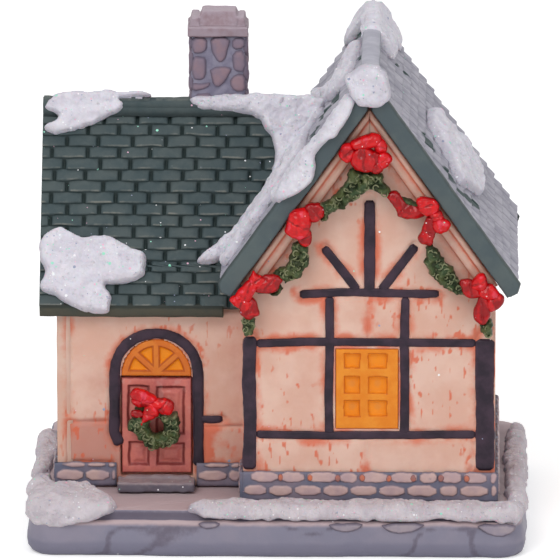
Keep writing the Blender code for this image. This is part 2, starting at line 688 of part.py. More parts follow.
def make_walls():
    roof_clear = ROOF_THICKNESS + GAP
    gable_outline = [(gable_left, wall_foot), (gable_right, wall_foot),
                     (gable_right, gable_roof_form.z_at(gable_right, roof_clear)),
                     (gable_centre, gable_roof_form.z_at(gable_centre, roof_clear)),
                     (gable_left, gable_roof_form.z_at(gable_left, roof_clear))]
    main_outline = [(main_front, wall_foot), (main_back, wall_foot),
                    (main_back, main_roof_form.z_at(main_back, roof_clear)),
                    (main_centre, main_roof_form.z_at(main_centre, roof_clear)),
                    (main_front, main_roof_form.z_at(main_front, roof_clear))]
    walls = prism("house_walls", gable_outline, "Y", gable_front, gable_back, "plaster")
    fuse(walls, prism("wing_block", main_outline, "X", wall_left, gable_left + WALL / 2, "plaster"))
    gable_hollow = box("gable_hollow_cutter", (gable_left + WALL, gable_front + WALL, 0.0),
                       (gable_right - WALL, gable_back - WALL, 2 * GABLE_RIDGE_Z), "plaster")
    main_hollow = box("main_hollow_cutter", (wall_left + WALL, main_front + WALL, 0.0),
                      (gable_centre, main_back - WALL, 2 * GABLE_RIDGE_Z), "plaster")
    cut(walls, gable_hollow, main_hollow)

    window = rectangle(window_centre - WINDOW_WIDTH / 2 - GAP, window_centre + WINDOW_WIDTH / 2 + GAP,
                       WINDOW_SILL_Z - GAP, window_top + GAP)
    through = (gable_front - WALL, gable_front + 2 * WALL)
    cut(walls, prism("front_window_cutter", window, "Y", *through, "plaster"))
    through = (main_front - WALL, main_front + 2 * WALL)
    cut(walls, prism("doorway_cutter", doorway_outline(GAP), "Y", *through, "plaster"))
    for name, axis, middle, face, side in window_openings():
        half = SIDE_WINDOW_WIDTH / 2 + GAP
        outline = rectangle(middle - half, middle + half, SIDE_WINDOW_SILL_Z - GAP,
                            SIDE_WINDOW_SILL_Z + SIDE_WINDOW_HEIGHT + GAP)
        ends = sorted((face - 2 * side * WALL, face + side * WALL))
        cut(walls, prism(name + "_cutter", outline, axis, *ends, "plaster"))

    groove = (gable_front - TIMBER_GROOVE, gable_front + TIMBER_GROOVE)
    clear = GAP / 2
    for name, outline in post_outlines(clear).items():
        cut(walls, prism(name + "_groove", outline, "Y", *groove, "plaster"))
    for shape, name in ((truss, "truss_groove"), (lattice, "lattice_groove")):
        cut(walls, shape(name, clear, *groove, "plaster"))
    arch = band(arch_path(), ARCH_WIDTH + 2 * clear, clear)
    rail = wing_rail_outline(clear)
    for name, outline in (("arch_groove", arch), ("wing_rail_groove", rail)):
        cut(walls, prism(name, outline, "Y", main_front - TIMBER_GROOVE, main_front + TIMBER_GROOVE, "plaster"))


# Windows and door

def spaced(start, pieces):
    """Running sums of the pieces from a start."""
    lines = [start]
    for piece in pieces:
        lines.append(lines[-1] + piece)
    return lines


def casement(name, middle, sill, width, height, place):
    """A window of two by three panes. place(u, v, level) puts its points, level 0 being its back."""
    pane_width = (width - 2 * WINDOW_FRAME - WINDOW_BAR) / 2
    pane_height = (height - 2 * WINDOW_FRAME - 2 * WINDOW_BAR) / 3
    us = spaced(middle - width / 2, [WINDOW_FRAME, pane_width, WINDOW_BAR, pane_width, WINDOW_FRAME])
    vs = spaced(sill, [WINDOW_FRAME] + [pane_height, WINDOW_BAR] * 2 + [pane_height, WINDOW_FRAME])
    grid_plate(name, us, vs, lambda i, j: WINDOW_THICKNESS - PANE_DEPTH * (i % 2) * (j % 2), place, "amber")


def make_windows():
    back = gable_front + WINDOW_INSET + WINDOW_THICKNESS
    casement("front_window", window_centre, WINDOW_SILL_Z, WINDOW_WIDTH, WINDOW_HEIGHT,
             lambda u, v, level: (u, back - level, v))
    for name, axis, middle, face, side in window_openings():
        foot = face - side * (WINDOW_INSET + WINDOW_THICKNESS)
        casement(name, middle, SIDE_WINDOW_SILL_Z, SIDE_WINDOW_WIDTH, SIDE_WINDOW_HEIGHT,
                 lambda u, v, level, axis=axis, foot=foot, side=side: lift((u, v), axis, foot + side * level))


def make_door():
    back = main_front + DOOR_INSET + DOOR_THICKNESS
    panel_width = (DOOR_WIDTH - 3 * DOOR_STILE) / 2
    upper_panel = DOOR_HEIGHT - 3 * DOOR_RAIL - DOOR_LOWER_PANEL
    us = spaced(DOOR_CENTRE_X - DOOR_WIDTH / 2, [DOOR_STILE, panel_width, DOOR_STILE, panel_width, DOOR_STILE])
    vs = spaced(door_foot, [DOOR_RAIL, DOOR_LOWER_PANEL, DOOR_RAIL, upper_panel, DOOR_RAIL])
    grid_plate("door", us, vs, lambda i, j: DOOR_THICKNESS - DOOR_PANEL_DEPTH * (i % 2) * (j % 2),
               lambda u, v, level: (u, back - level, v), "door_paint")


def make_fanlight():
    """A half-round light with four panes between its rim and three spokes."""
    back = main_front + DOOR_INSET + DOOR_THICKNESS
    front = back - DOOR_THICKNESS
    foot = door_top + GAP
    half, rise = DOOR_WIDTH / 2, FANLIGHT_RISE - GAP
    outline = arc((DOOR_CENTRE_X, foot), half, rise, 0, 180, 20)
    light = prism("fanlight", outline, "Y", front, back, "amber")
    inner_half, inner_rise = half - FANLIGHT_RIM, rise - FANLIGHT_RIM
    spread = 180 / FANLIGHT_PANES
    for index in range(FANLIGHT_PANES):
        start, end = index * spread, (index + 1) * spread
        middle = math.radians((start + end) / 2)
        bar = FANLIGHT_BAR / math.sin(math.radians(spread)) * FANLIGHT_HUB_SHARE
        hub = (DOOR_CENTRE_X + bar * math.cos(middle), foot + FANLIGHT_RIM + bar * math.sin(middle))
        shrink = math.degrees(FANLIGHT_BAR / inner_half)
        edge = arc((DOOR_CENTRE_X, foot + FANLIGHT_RIM), inner_half, inner_rise - FANLIGHT_RIM,
                   start + shrink, end - shrink, 4)
        cut(light, prism("fanlight_pane_%d" % (index + 1), [hub] + edge, "Y", front - PANE_DEPTH,
                         front + PANE_DEPTH, "amber"))


# Roofs

def gable_envelope():
    """The gable wing's outline from wall foot to ridge, grown by the gap, which the main roof stops at."""
    half = []
    for side in (-1, 1):
        wall = gable_centre + side * (GABLE_WALL_WIDTH / 2 + GAP)
        under, over = ROOF_THICKNESS + GAP, -GAP
        half.append([(wall, 0.0), (wall, gable_roof_form.z_at(wall, under)),
                     gable_roof_form.eave(side, under, GAP), gable_roof_form.eave(side, over, GAP)])
    return half[0] + [(gable_centre, gable_roof_form.z_at(gable_centre, -GAP))] + half[1][::-1]


def ridge_cap_seat():
    """Depth under the outer plane at which the ridge cap sits."""
    return TILE_STEP - GAP


def ridge_cap_top():
    return gable_roof_form.z_at(gable_centre, ridge_cap_seat()) + RIDGE_CAP_HEIGHT


def make_gable_roof():
    form = gable_roof_form
    half = RIDGE_CAP_WIDTH / 2
    left = form.tiles(-1, GABLE_TILE_ROW, half)
    right = form.tiles(1, GABLE_TILE_ROW, half)
    peak = (form.centre, form.z_at(form.centre, TILE_STEP))
    underside = [form.eave(1, ROOF_THICKNESS), (form.centre, form.z_at(form.centre, ROOF_THICKNESS)),
                 form.eave(-1, ROOF_THICKNESS)]
    end = BOARD_THICKNESS + GAP
    outline = left + [peak] + right[::-1] + underside
    prism("gable_roof", outline, "Y", roof_front + end, roof_back - end, "grey_slate")
    foot = form.z_at(form.centre + half, ridge_cap_seat())
    flat = half - RIDGE_CAP_CHAMFER
    top, edge = ridge_cap_top(), foot + RIDGE_CAP_EDGE
    cap = [(-half, foot), (0.0, top - RIDGE_CAP_HEIGHT), (half, foot), (half, edge), (flat, top), (-flat, top),
           (-half, edge)]
    prism("gable_ridge_cap", [(form.centre + u, z) for u, z in cap], "Y", roof_front + end + RIDGE_CAP_INSET,
          roof_back - end - RIDGE_CAP_INSET, "grey_slate")


def make_main_roof():
    form = main_roof_form
    left = form.tiles(-1, MAIN_TILE_ROW, 0.0)
    right = form.tiles(1, MAIN_TILE_ROW, 0.0)[:-1]
    soffit = form.eave(1)[1] - FASCIA_HEIGHT
    underside = []
    for side in (1, -1):
        outer, inner = form.eave(side)[0], form.u_at(soffit, ROOF_THICKNESS, side)
        ends = [(outer, soffit), (inner, soffit)]
        underside += ends if side > 0 else [(form.centre, form.z_at(form.centre, ROOF_THICKNESS))] + ends[::-1]
    outline = left + right[::-1] + underside
    roof = prism("main_roof", outline, "X", wall_left - MAIN_END_OVERHANG, gable_centre, "slate")
    cut(roof, prism("gable_envelope_cutter", gable_envelope(), "Y", 2 * roof_front, 2 * roof_back, "slate"))


def board_outline(side):
    """One board from the ridge to the eave, its outer edge in line with the tiles' face."""
    form = gable_roof_form
    top = form.centre + side * GAP / 2
    return [(top, form.z_at(top)), form.eave(side), form.eave(side, BOARD_WIDTH, BOARD_TIP),
            (top, form.z_at(top, BOARD_WIDTH))]


def make_boards():
    for name, side in (("bargeboard_front_left", -1), ("bargeboard_front_right", 1)):
        prism(name, board_outline(side), "Y", roof_front, roof_front + BOARD_THICKNESS, "board")
    for name, side in (("bargeboard_back_left", -1), ("bargeboard_back_right", 1)):
        prism(name, board_outline(side), "Y", roof_back - BOARD_THICKNESS, roof_back, "board")


def make_moulding():
    form = gable_roof_form
    outer = BOARD_WIDTH + GAP
    outline = []
    for depth, order in ((outer, (-1, 1)), (outer + MOULDING_WIDTH, (1, -1))):
        first, last = order
        outline += [(form.u_at(MOULDING_FOOT_Z, depth, first), MOULDING_FOOT_Z),
                    (form.centre, form.z_at(form.centre, depth)),
                    (form.u_at(MOULDING_FOOT_Z, depth, last), MOULDING_FOOT_Z)]
    prism("gable_moulding", outline, "Y", gable_front - GAP - MOULDING_THICKNESS, gable_front - GAP, "plaster")


# Chimney

def chimney_plan(grow):
    middle = (CHIMNEY_CENTRE_X, main_centre + CHIMNEY_BEHIND_RIDGE)
    width, depth = CHIMNEY_WIDTH + 2 * grow, CHIMNEY_DEPTH + 2 * grow
    return rounded_rectangle(middle, width, depth, depth / 10, 2)


def make_chimney():
    form = main_roof_form
    shaft = prism("chimney_shaft", chimney_plan(0.0), "Z", form.eave(1)[1], CHIMNEY_SHAFT_TOP_Z,
                  "chimney_stone")
    front, back = form.eave(-1, -GAP), form.eave(1, -GAP)
    under = [(front[0], 0.0), front, (form.centre, form.z_at(form.centre, -GAP)), back, (back[0], 0.0)]
    cut(shaft, prism("chimney_seat_cutter", under, "X", CHIMNEY_CENTRE_X - CHIMNEY_WIDTH,
                     CHIMNEY_CENTRE_X + CHIMNEY_WIDTH, "chimney_stone"))

    foot = CHIMNEY_SHAFT_TOP_Z + GAP
    slab_top = foot + CHIMNEY_SLAB_HEIGHT
    crown_top = slab_top + CHIMNEY_CROWN_HEIGHT
    levels = ((CHIMNEY_CAP_LIP, foot), (CHIMNEY_CAP_LIP, slab_top), (-CHIMNEY_CROWN_INSET, slab_top),
              (-CHIMNEY_SHOULDER_INSET, slab_top + CHIMNEY_SHOULDER_HEIGHT), (-CHIMNEY_CROWN_TAPER, crown_top))
    rings = [[lift(point, "Z", z) for point in chimney_plan(grow)] for grow, z in levels]
    loft("chimney_cap", rings, "chimney_stone")


# Christmas trim

def garland(name, path, width, sides=8):
    """A flattened roll along a path in the plane of the gable front, drawn in at both ends."""
    points = [Vector(point) for point in path]
    rings = []
    for index, here in enumerate(points):
        before = points[max(index - 1, 0)]
        after = points[min(index + 1, len(points) - 1)]
        along = (after - before).normalized()
        across = Vector((-along.y, along.x))
        at_end = index in (0, len(points) - 1)
        swell = 0.6 if at_end else 1.0
        ring = []
        for step in range(sides):
            angle = 2 * math.pi * step / sides
            spot = here + across * (width / 2 * swell * math.cos(angle))
            ring.append((spot.x, garland_y + GARLAND_DEPTH / 2 * swell * math.sin(angle), spot.y))
        rings.append(ring)
    loft(name, rings, "green", True)


def bow(name, centre, width, height, back):
    """Two loops, a knot and two tails, cut from one outline with a drawn-in face."""
    under, over = BOW_NOTCHES
    shape = list(BOW_HALF) + [under] + [(-u, v) for u, v in BOW_HALF[::-1]] + [over]
    outline = [(centre[0] + u * width, centre[1] + v * height) for u, v in shape]
    face = inset(outline, BOW_THICKNESS / 4)
    levels = ((outline, back), (outline, back - BOW_THICKNESS * BOW_RIM_SHARE), (face, back - BOW_THICKNESS))
    loft(name, [[lift(point, "Y", y) for point in ring] for ring, y in levels], "red")


def make_gable_trim():
    for name, (width, path) in GARLANDS.items():
        garland(name, [(gable_centre + u, z) for u, z in path], width)
    for name, (u, z, width, height) in BOWS.items():
        bow(name, (gable_centre + u, z), width, height, bow_back)


def make_wreath():
    front = main_front - GAP
    middle_y = front - WREATH_ROLL
    bm = bmesh.new()
    turns, sides = 20, 8
    loops = []
    for turn in range(turns):
        around = 2 * math.pi * turn / turns
        ring = []
        for step in range(sides):
            angle = 2 * math.pi * step / sides
            reach = WREATH_RADIUS + WREATH_ROLL * math.cos(angle)
            spot = (DOOR_CENTRE_X + reach * math.cos(around), middle_y + WREATH_ROLL * math.sin(angle),
                    WREATH_CENTRE_Z + reach * math.sin(around))
            ring.append(bm.verts.new(spot))
        loops.append(ring)
    for turn in range(turns):
        here, there = loops[turn], loops[(turn + 1) % turns]
        for step in range(sides):
            after = (step + 1) % sides
            bm.faces.new((here[step], here[after], there[after], there[step]))
    finish_object("wreath", bm, "green", True)
    bow("wreath_bow", (DOOR_CENTRE_X, WREATH_CENTRE_Z + WREATH_BOW_RISE), WREATH_BOW_WIDTH, WREATH_BOW_HEIGHT,
        middle_y - WREATH_ROLL - GAP)


# Snow

def snow_patch(name, outline, place, thickness=SNOW_THICKNESS):
    """A cushion of snow over an outline. place(u, v, height) puts its points on the surface it lies on."""
    levels = ((outline, GAP), (inset(outline, -thickness * 0.1), GAP + thickness * 0.5),
              (inset(outline, thickness * 0.5), GAP + thickness))
    loft(name, [[place(u, v, height) for u, v in ring] for ring, height in levels], "snow", True)


def on_main_slope(u, v, height):
    """u from the main wing's middle of the base, v down the front slope from the ridge."""
    cos, sin = math.cos(MAIN_PITCH), math.sin(MAIN_PITCH)
    return (u, main_centre - v * cos - height * sin, main_ridge_z - v * sin + height * cos)


def on_gable_slope(side):
    """Placer for a gable slope: u runs back from the roof's front edge, v down from the ridge."""
    cos, sin = math.cos(GABLE_PITCH), math.sin(GABLE_PITCH)

    def place(u, v, height):
        out = v * cos + height * sin
        return (gable_centre + side * out, roof_front + u, GABLE_RIDGE_Z - v * sin + height * cos)

    return place


def on_base(u, v, height):
    return (u, v, YARD_HEIGHT + height)


def valley_u(v):
    """Where the gable's left slope meets the main front slope, this far down it."""
    form = gable_roof_form
    return form.u_at(main_ridge_z - v * math.sin(MAIN_PITCH), 0.0, -1) - 3 * GAP


def make_main_roof_snow():
    edge = wall_left - MAIN_END_OVERHANG + GAP
    slope = main_half_span / math.cos(MAIN_PITCH)
    snow_patch("snow_main_ridge", [(edge + u, v) for u, v in MAIN_RIDGE_SNOW], on_main_slope)
    snow_patch("snow_main_eave", [(edge + u, slope - v) for u, v in MAIN_EAVE_SNOW], on_main_slope)
    clear = 3 * GAP
    chimney_left = CHIMNEY_CENTRE_X - CHIMNEY_WIDTH / 2
    beside_chimney = CHIMNEY_CENTRE_X + CHIMNEY_WIDTH / 2 + clear
    before_chimney = (CHIMNEY_DEPTH / 2 - CHIMNEY_BEHIND_RIDGE) / math.cos(MAIN_PITCH) + clear
    right = [(valley_u(v), v) for v in VALLEY_SNOW_ROWS]
    left = [(valley_u(v) - width, v) for width, v in VALLEY_SNOW_EDGE]
    head = [(chimney_left, before_chimney + VALLEY_SNOW_HEAD), (chimney_left, before_chimney),
            (beside_chimney, before_chimney), (beside_chimney, VALLEY_SNOW_ROWS[0])]
    snow_patch("snow_valley", right + left + head, on_main_slope)


def make_gable_roof_snow():
    snow_patch("snow_right_slope", RIGHT_SLOPE_SNOW, on_gable_slope(1))
    foot = BOARD_THICKNESS + GAP
    end = roof_back - roof_front - foot
    snow_patch("snow_left_rake", [(foot + u, v) for u, v in LEFT_RAKE_SNOW], on_gable_slope(-1))
    snow_patch("snow_left_slope", [(end - u, v) for u, v in LEFT_SLOPE_SNOW], on_gable_slope(-1))


def saddle_outline(half_width):
    """Snow astride the ridge: its hollow clears the tiles, the boards and the ridge cap."""
    form = gable_roof_form
    cap = ridge_cap_top() + GAP
    step = RIDGE_CAP_WIDTH / 2 + GAP
    crown = cap + RIDGE_SNOW_RISE
    foot = form.z_at(form.centre + half_width, -GAP)
    over = [(half_width * out, foot + (crown - foot) * up) for out, up in SADDLE_SHARES]
    seat = form.z_at(form.centre + step, -GAP)
    outline = over + [(0.0, crown)] + [(-u, z) for u, z in over[::-1]]
    outline += [(-step, seat), (-step, cap), (step, cap), (step, seat)]
    return [(form.centre + u, z) for u, z in outline]


def make_ridge_snow():
    back_end = roof_back - BOARD_THICKNESS - GAP
    outline = saddle_outline(BACK_SNOW_HALF_WIDTH)
    prism("snow_ridge_back", outline, "Y", back_end - BACK_SNOW_LENGTH, back_end, "snow")
    start = roof_front - GAP - SNOW_THICKNESS
    lump = prism("snow_ridge_front", saddle_outline(FRONT_SNOW_HALF_WIDTH), "Y", start + SNOW_THICKNESS / 3,
                 roof_front + FRONT_SNOW_LENGTH, "snow")
    face = [(gable_centre + u, z) for u, z in FRONT_SNOW]
    fuse(lump, prism("front_droop", face, "Y", start, roof_front - GAP, "snow"))


def make_ground_snow():
    """Mounds on the yard, placed from its edges, the walls' footing and the step."""
    margin = BASE_BATTER + YARD_INSET + GAP
    left, right = base_left + margin, base_right - margin
    front, back = base_front + margin, -base_front - margin
    clear = GAP + FOOTING_THICKNESS + 2 * GAP
    step_left = DOOR_CENTRE_X - STEP_WIDTH / 2 - 2 * GAP
    step_right = DOOR_CENTRE_X + STEP_WIDTH / 2 + 2 * GAP
    corner = BASE_CORNER / 3
    mound = [(left, main_front - clear), (left, front + corner), (left + corner, front),
             (step_left, front), (step_left - MOUND_NECK[0], front + MOUND_NECK[1]),
             (step_left - MOUND_HEAD, main_front - clear)]
    snow_patch("snow_ground_left", mound, on_base, GROUND_SNOW_HEIGHT)
    side_front, side_back = main_front + SIDE_STRIP_FRONT, back - SIDE_STRIP_BACK
    side = [(left, side_back), (left, side_front), (wall_left - clear, side_front + SIDE_STRIP_SLANT),
            (wall_left - clear, side_back - SIDE_STRIP_SLANT)]
    snow_patch("snow_ground_far_left", side, on_base, SIDE_STRIP_HEIGHT)
    wall_line = gable_front - clear
    strip = [(step_right, front), (right - corner, front), (right - corner, wall_line),
             (gable_left - clear, wall_line), (gable_left - clear, main_front - clear),
             (step_right, main_front - clear)]
    snow_patch("snow_ground_front", strip, on_base, GROUND_STRIP_HEIGHT)
    side_front = wall_line + 3 * GAP
    side = [(right, side_front), (right, back - corner), (gable_right + clear, back - corner),
            (gable_right + clear, side_front)]
    snow_patch("snow_ground_right", side, on_base, GROUND_SNOW_HEIGHT)


# Light unit

unit_centre = (gable_centre, (gable_front + gable_back) / 2)
unit_foot = UNIT_RECESS
unit_top = unit_foot + UNIT_HEIGHT
cell_centre = (unit_centre[0], unit_centre[1] + CELL_OFFSET_Y)
door_inner = unit_foot + BATTERY_DOOR_THICKNESS
cell_foot = door_inner + CELL_GAP
cell_top = cell_foot + CELL_THICKNESS
pocket_top = cell_top + CELL_GAP + CONTACT_THICKNESS + CELL_GAP
pocket_radius = CELL_RADIUS + CELL_GAP
screw_centre = (cell_centre[0] + DOOR_EAR_REACH * math.cos(DOOR_EAR_ANGLE),
                cell_centre[1] + DOOR_EAR_REACH * math.sin(DOOR_EAR_ANGLE))
switch_centre = (unit_centre[0], unit_centre[1] + SWITCH_OFFSET_Y)


def door_outline(grow):
    """A disc and the smaller disc of the screw's ear, with their two tangents."""
    disc = pocket_radius + BATTERY_DOOR_LIP + grow
    ear = DOOR_EAR_RADIUS + grow
    lean = math.degrees(math.acos((disc - ear) / DOOR_EAR_REACH))
    aim = math.degrees(DOOR_EAR_ANGLE)
    around = arc(cell_centre, disc, disc, aim + lean, aim + 360 - lean, 28)
    return around + arc(screw_centre, ear, ear, aim - lean, aim + lean, 8)


def make_housing():
    outline = rounded_rectangle(unit_centre, UNIT_WIDTH, UNIT_LENGTH, UNIT_CORNER)
    housing = prism("light_housing", outline, "Z", unit_foot, unit_top, "white_plastic")
    below = unit_foot - UNIT_HEIGHT
    recess = prism("door_recess_cutter", door_outline(CELL_GAP), "Z", below, door_inner + CELL_GAP,
                   "white_plastic")
    pocket = prism("cell_pocket_cutter", circle(cell_centre, pocket_radius, 40), "Z", below, pocket_top,
                   "white_plastic")
    screw_hole = prism("screw_hole_cutter", circle(screw_centre, SCREW_RADIUS + SLIDER_GAP, 12), "Z", below,
                       door_inner + SCREW_LENGTH, "white_plastic")
    slot_length = SLIDER_LENGTH + SWITCH_TRAVEL + 2 * SLIDER_GAP
    slot = rounded_rectangle(switch_centre, slot_length, SLIDER_WIDTH + 2 * SLIDER_GAP, SLIDER_GAP, 1)
    switch_slot = prism("switch_slot_cutter", slot, "Z", below, unit_foot + SLIDER_THICKNESS + SLIDER_GAP,
                        "white_plastic")
    cut(housing, recess, pocket, rim_contact("rim_contact_cutter", CELL_GAP), screw_hole, switch_slot)
    for name, side in (("first_lead_hole", -1), ("second_lead_hole", 1)):
        spot = (unit_centre[0] + side * LEAD_SPACING / 2, unit_centre[1])
        hole = circle(spot, LEAD_RADIUS + CELL_GAP, 10)
        cut(housing, prism(name, hole, "Z", cell_top, unit_top + UNIT_HEIGHT, "white_plastic"))
    return housing


def make_led():
    foot = unit_top + GAP
    dome_foot = foot + LED_HEIGHT - LED_RADIUS
    flange, flange_top = LED_RADIUS + LED_FLANGE, foot + LED_FLANGE_HEIGHT
    profile = [(0.0, foot), (flange, foot), (flange, flange_top), (LED_RADIUS, flange_top),
               (LED_RADIUS, dome_foot)]
    for angle in LED_DOME_ANGLES:
        turn = math.radians(angle)
        profile.append((LED_RADIUS * math.cos(turn), dome_foot + LED_RADIUS * math.sin(turn)))
    profile.append((0.0, dome_foot + LED_RADIUS))
    led = turned("led_bulb", profile, unit_centre, "clear_lens")
    leads = []
    for name, side in (("led_lead_positive", -1), ("led_lead_negative", 1)):
        spot = (unit_centre[0] + side * LEAD_SPACING / 2, unit_centre[1])
        leads.append(prism(name, circle(spot, LEAD_RADIUS, 8), "Z", pocket_top, foot - CELL_GAP, "steel"))
    return [led] + leads


def rim_contact(name, grow):
    """A spring plate that stands behind the cell. As a cutter it opens into the cell's pocket."""
    face = cell_centre[1] + pocket_radius + CELL_GAP
    opening = -CONTACT_THICKNESS * 3 if grow else 0.0
    low = (cell_centre[0] - RIM_CONTACT_WIDTH / 2 - grow, face + opening, door_inner if grow else cell_foot)
    high = (cell_centre[0] + RIM_CONTACT_WIDTH / 2 + grow, face + CONTACT_THICKNESS + grow,
            pocket_top if grow else cell_top)
    return box(name, low, high, "steel")


def make_cell():
    chamfer = CELL_THICKNESS / 10
    profile = [(0.0, cell_foot), (CELL_RADIUS - chamfer, cell_foot), (CELL_RADIUS, cell_foot + chamfer),
               (CELL_RADIUS, cell_top - chamfer), (CELL_RADIUS - chamfer, cell_top), (0.0, cell_top)]
    cell = turned("coin_cell", profile, cell_centre, "steel", 40)
    contact = prism("cell_contact", circle(cell_centre, CONTACT_RADIUS, 20), "Z", cell_top + CELL_GAP,
                    cell_top + CELL_GAP + CONTACT_THICKNESS, "steel")
    return [cell, contact, rim_contact("rim_contact", 0.0)]


def make_battery_door():
    door = prism("battery_door", door_outline(0.0), "Z", unit_foot, door_inner, "white_plastic")
    below, above = unit_foot - BATTERY_DOOR_THICKNESS, door_inner + BATTERY_DOOR_THICKNESS
    seat_top = unit_foot + SCREW_HEAD_THICKNESS + SLIDER_GAP
    bore = prism("door_bore_cutter", circle(screw_centre, SCREW_RADIUS + SLIDER_GAP, 12), "Z", below, above,
                 "white_plastic")
    head = circle(screw_centre, SCREW_HEAD_RADIUS + SLIDER_GAP, 16)
    seat = prism("door_seat_cutter", head, "Z", below, seat_top, "white_plastic")
    cut(door, bore, seat)
    return door


def make_screw():
    axis = (*screw_centre, 0.0)
    head_top = unit_foot + SCREW_HEAD_THICKNESS
    end = door_inner + SCREW_LENGTH - SLIDER_GAP
    profile = [(0.0, unit_foot), (SCREW_HEAD_RADIUS, unit_foot), (SCREW_HEAD_RADIUS, head_top),
               (SCREW_RADIUS, head_top), (SCREW_RADIUS, end - SCREW_RADIUS), (SCREW_RADIUS / 2, end),
               (0.0, end)]
    screw = turned("door_screw", profile, screw_centre, "steel", 16, axis)
    for name, along, across in (("screw_slot_along", 1, 0), ("screw_slot_across", 0, 1)):
        reach_x = SCREW_HEAD_RADIUS * SCREW_SLOT_SHARE if along else SCREW_SLOT_WIDTH / 2
        reach_y = SCREW_HEAD_RADIUS * SCREW_SLOT_SHARE if across else SCREW_SLOT_WIDTH / 2
        low = (screw_centre[0] - reach_x, screw_centre[1] - reach_y, unit_foot - SCREW_SLOT_DEPTH)
        high = (screw_centre[0] + reach_x, screw_centre[1] + reach_y, unit_foot + SCREW_SLOT_DEPTH)
        cut(screw, box(name, low, high, "steel"))
    return screw


def make_slider():
    """The switch's thumb piece at its off end, ridged underneath."""
    left = switch_centre[0] - (SLIDER_LENGTH + SWITCH_TRAVEL) / 2
    pitch = SLIDER_LENGTH / (2 * SLIDER_RIDGES + 1)
    outline = []
    for index in range(2 * SLIDER_RIDGES + 1):
        z = unit_foot + SLIDER_RIDGE_DEPTH * (index % 2)
        outline += [(left + pitch * index, z), (left + pitch * (index + 1), z)]
    outline += [(left + SLIDER_LENGTH, unit_foot + SLIDER_THICKNESS), (left, unit_foot + SLIDER_THICKNESS)]
    near, far = switch_centre[1] - SLIDER_WIDTH / 2, switch_centre[1] + SLIDER_WIDTH / 2
    return prism("switch_slider", outline, "Y", near, far, "grey_plastic")


def parent_to(handle, pieces):
    for piece in pieces:
        piece.parent = handle
        piece.location = piece.location - handle.location


def make_light_unit():
    handle = bpy.data.objects.new("light_unit_axis", None)
    handle.location = (*unit_centre, unit_foot)
    bpy.context.collection.objects.link(handle)
    pieces = [make_housing(), make_battery_door(), make_screw(), make_slider()] + make_led() + make_cell()
    parent_to(handle, pieces)


def build():
    for old in list(bpy.data.objects):
        bpy.data.objects.remove(old, do_unlink=True)
    make_base()
    make_door_step()
    make_footing()
    make_walls()
    make_timbers()
    make_windows()
    make_door()
    make_fanlight()
    make_gable_roof()
    make_main_roof()
    make_boards()
    make_moulding()
    make_chimney()
    make_gable_trim()
    make_wreath()
    make_main_roof_snow()
    make_gable_roof_snow()
    make_ridge_snow()
    make_ground_snow()
    make_light_unit()


build()
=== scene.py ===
# Looks for the light-up christmas house: a small cast resin cottage, painted by hand.
# Lengths are in millimetres here, and become metres where a mesh is made.

import math
import bmesh
import bpy
import numpy as np
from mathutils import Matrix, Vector
from mathutils.geometry import delaunay_2d_cdt


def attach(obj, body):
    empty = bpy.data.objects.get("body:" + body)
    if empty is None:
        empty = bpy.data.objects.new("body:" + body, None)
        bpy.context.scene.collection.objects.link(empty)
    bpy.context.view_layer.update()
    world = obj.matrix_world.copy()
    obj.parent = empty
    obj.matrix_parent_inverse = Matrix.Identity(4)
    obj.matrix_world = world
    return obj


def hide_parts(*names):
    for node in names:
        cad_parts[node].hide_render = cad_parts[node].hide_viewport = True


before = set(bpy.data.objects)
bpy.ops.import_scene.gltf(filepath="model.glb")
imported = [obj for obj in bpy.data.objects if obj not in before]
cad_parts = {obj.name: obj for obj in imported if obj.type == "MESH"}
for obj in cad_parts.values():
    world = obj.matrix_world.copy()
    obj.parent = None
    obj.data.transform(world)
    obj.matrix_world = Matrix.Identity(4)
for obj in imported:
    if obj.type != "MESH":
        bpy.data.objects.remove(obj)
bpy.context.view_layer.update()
mm = 0.001
chance = np.random.default_rng(24)


# shapes

def lattice(ix, iy, iz, seed):
    # a repeatable number from -1 to 1 for each corner of a cube grid
    n = (ix * 374761393 + iy * 668265263 + iz * 1274126177 + seed * 97471177) & 0x7fffffff
    n = ((n ^ (n >> 13)) * 1103515245 + 12345) & 0x7fffffff
    n = n ^ (n >> 16)
    return (n & 0xffff) / 32767.5 - 1.0


def lumps(points, size, seed=1, octaves=1):
    # smooth noise from -1 to 1 whose lumps are about this many millimetres across
    points = np.asarray(points, float)
    if points.shape[-1] == 2:
        points = np.concatenate([points, np.zeros(points.shape[:-1] + (1,))], axis=-1)
    total = np.zeros(points.shape[:-1])
    weight = 1.0
    for octave in range(octaves):
        scaled = points / (size * 0.5 ** octave) + 50.0 + seed * 3.7
        corner = np.floor(scaled).astype(np.int64)
        part = scaled - corner
        part = part * part * (3 - 2 * part)
        value = np.zeros(points.shape[:-1])
        for dx in (0, 1):
            for dy in (0, 1):
                for dz in (0, 1):
                    share = ((part[..., 0] if dx else 1 - part[..., 0])
                             * (part[..., 1] if dy else 1 - part[..., 1])
                             * (part[..., 2] if dz else 1 - part[..., 2]))
                    value += share * lattice(corner[..., 0] + dx, corner[..., 1] + dy, corner[..., 2] + dz,
                                             seed + octave)
        total += value * weight
        weight *= 0.5
    return total


def fade(low, high, value):
    # 0 below low, 1 above high, and smooth between them
    t = np.clip((np.asarray(value, float) - low) / (high - low), 0, 1)
    return t * t * (3 - 2 * t)


def pathDistance(points, path):
    # how far each point is from a path
    best = np.full(len(points), 1e9)
    path = np.asarray(path, float)
    for start, end in zip(path[:-1], path[1:]):
        step = end - start
        t = np.clip(((points - start) @ step) / max(step @ step, 1e-12), 0, 1)
        gap = points - start - t[:, None] * step
        best = np.minimum(best, np.hypot(gap[:, 0], gap[:, 1]))
    return best


def edgeDistance(points, outline):
    return pathDistance(points, np.vstack([outline, outline[:1]]))


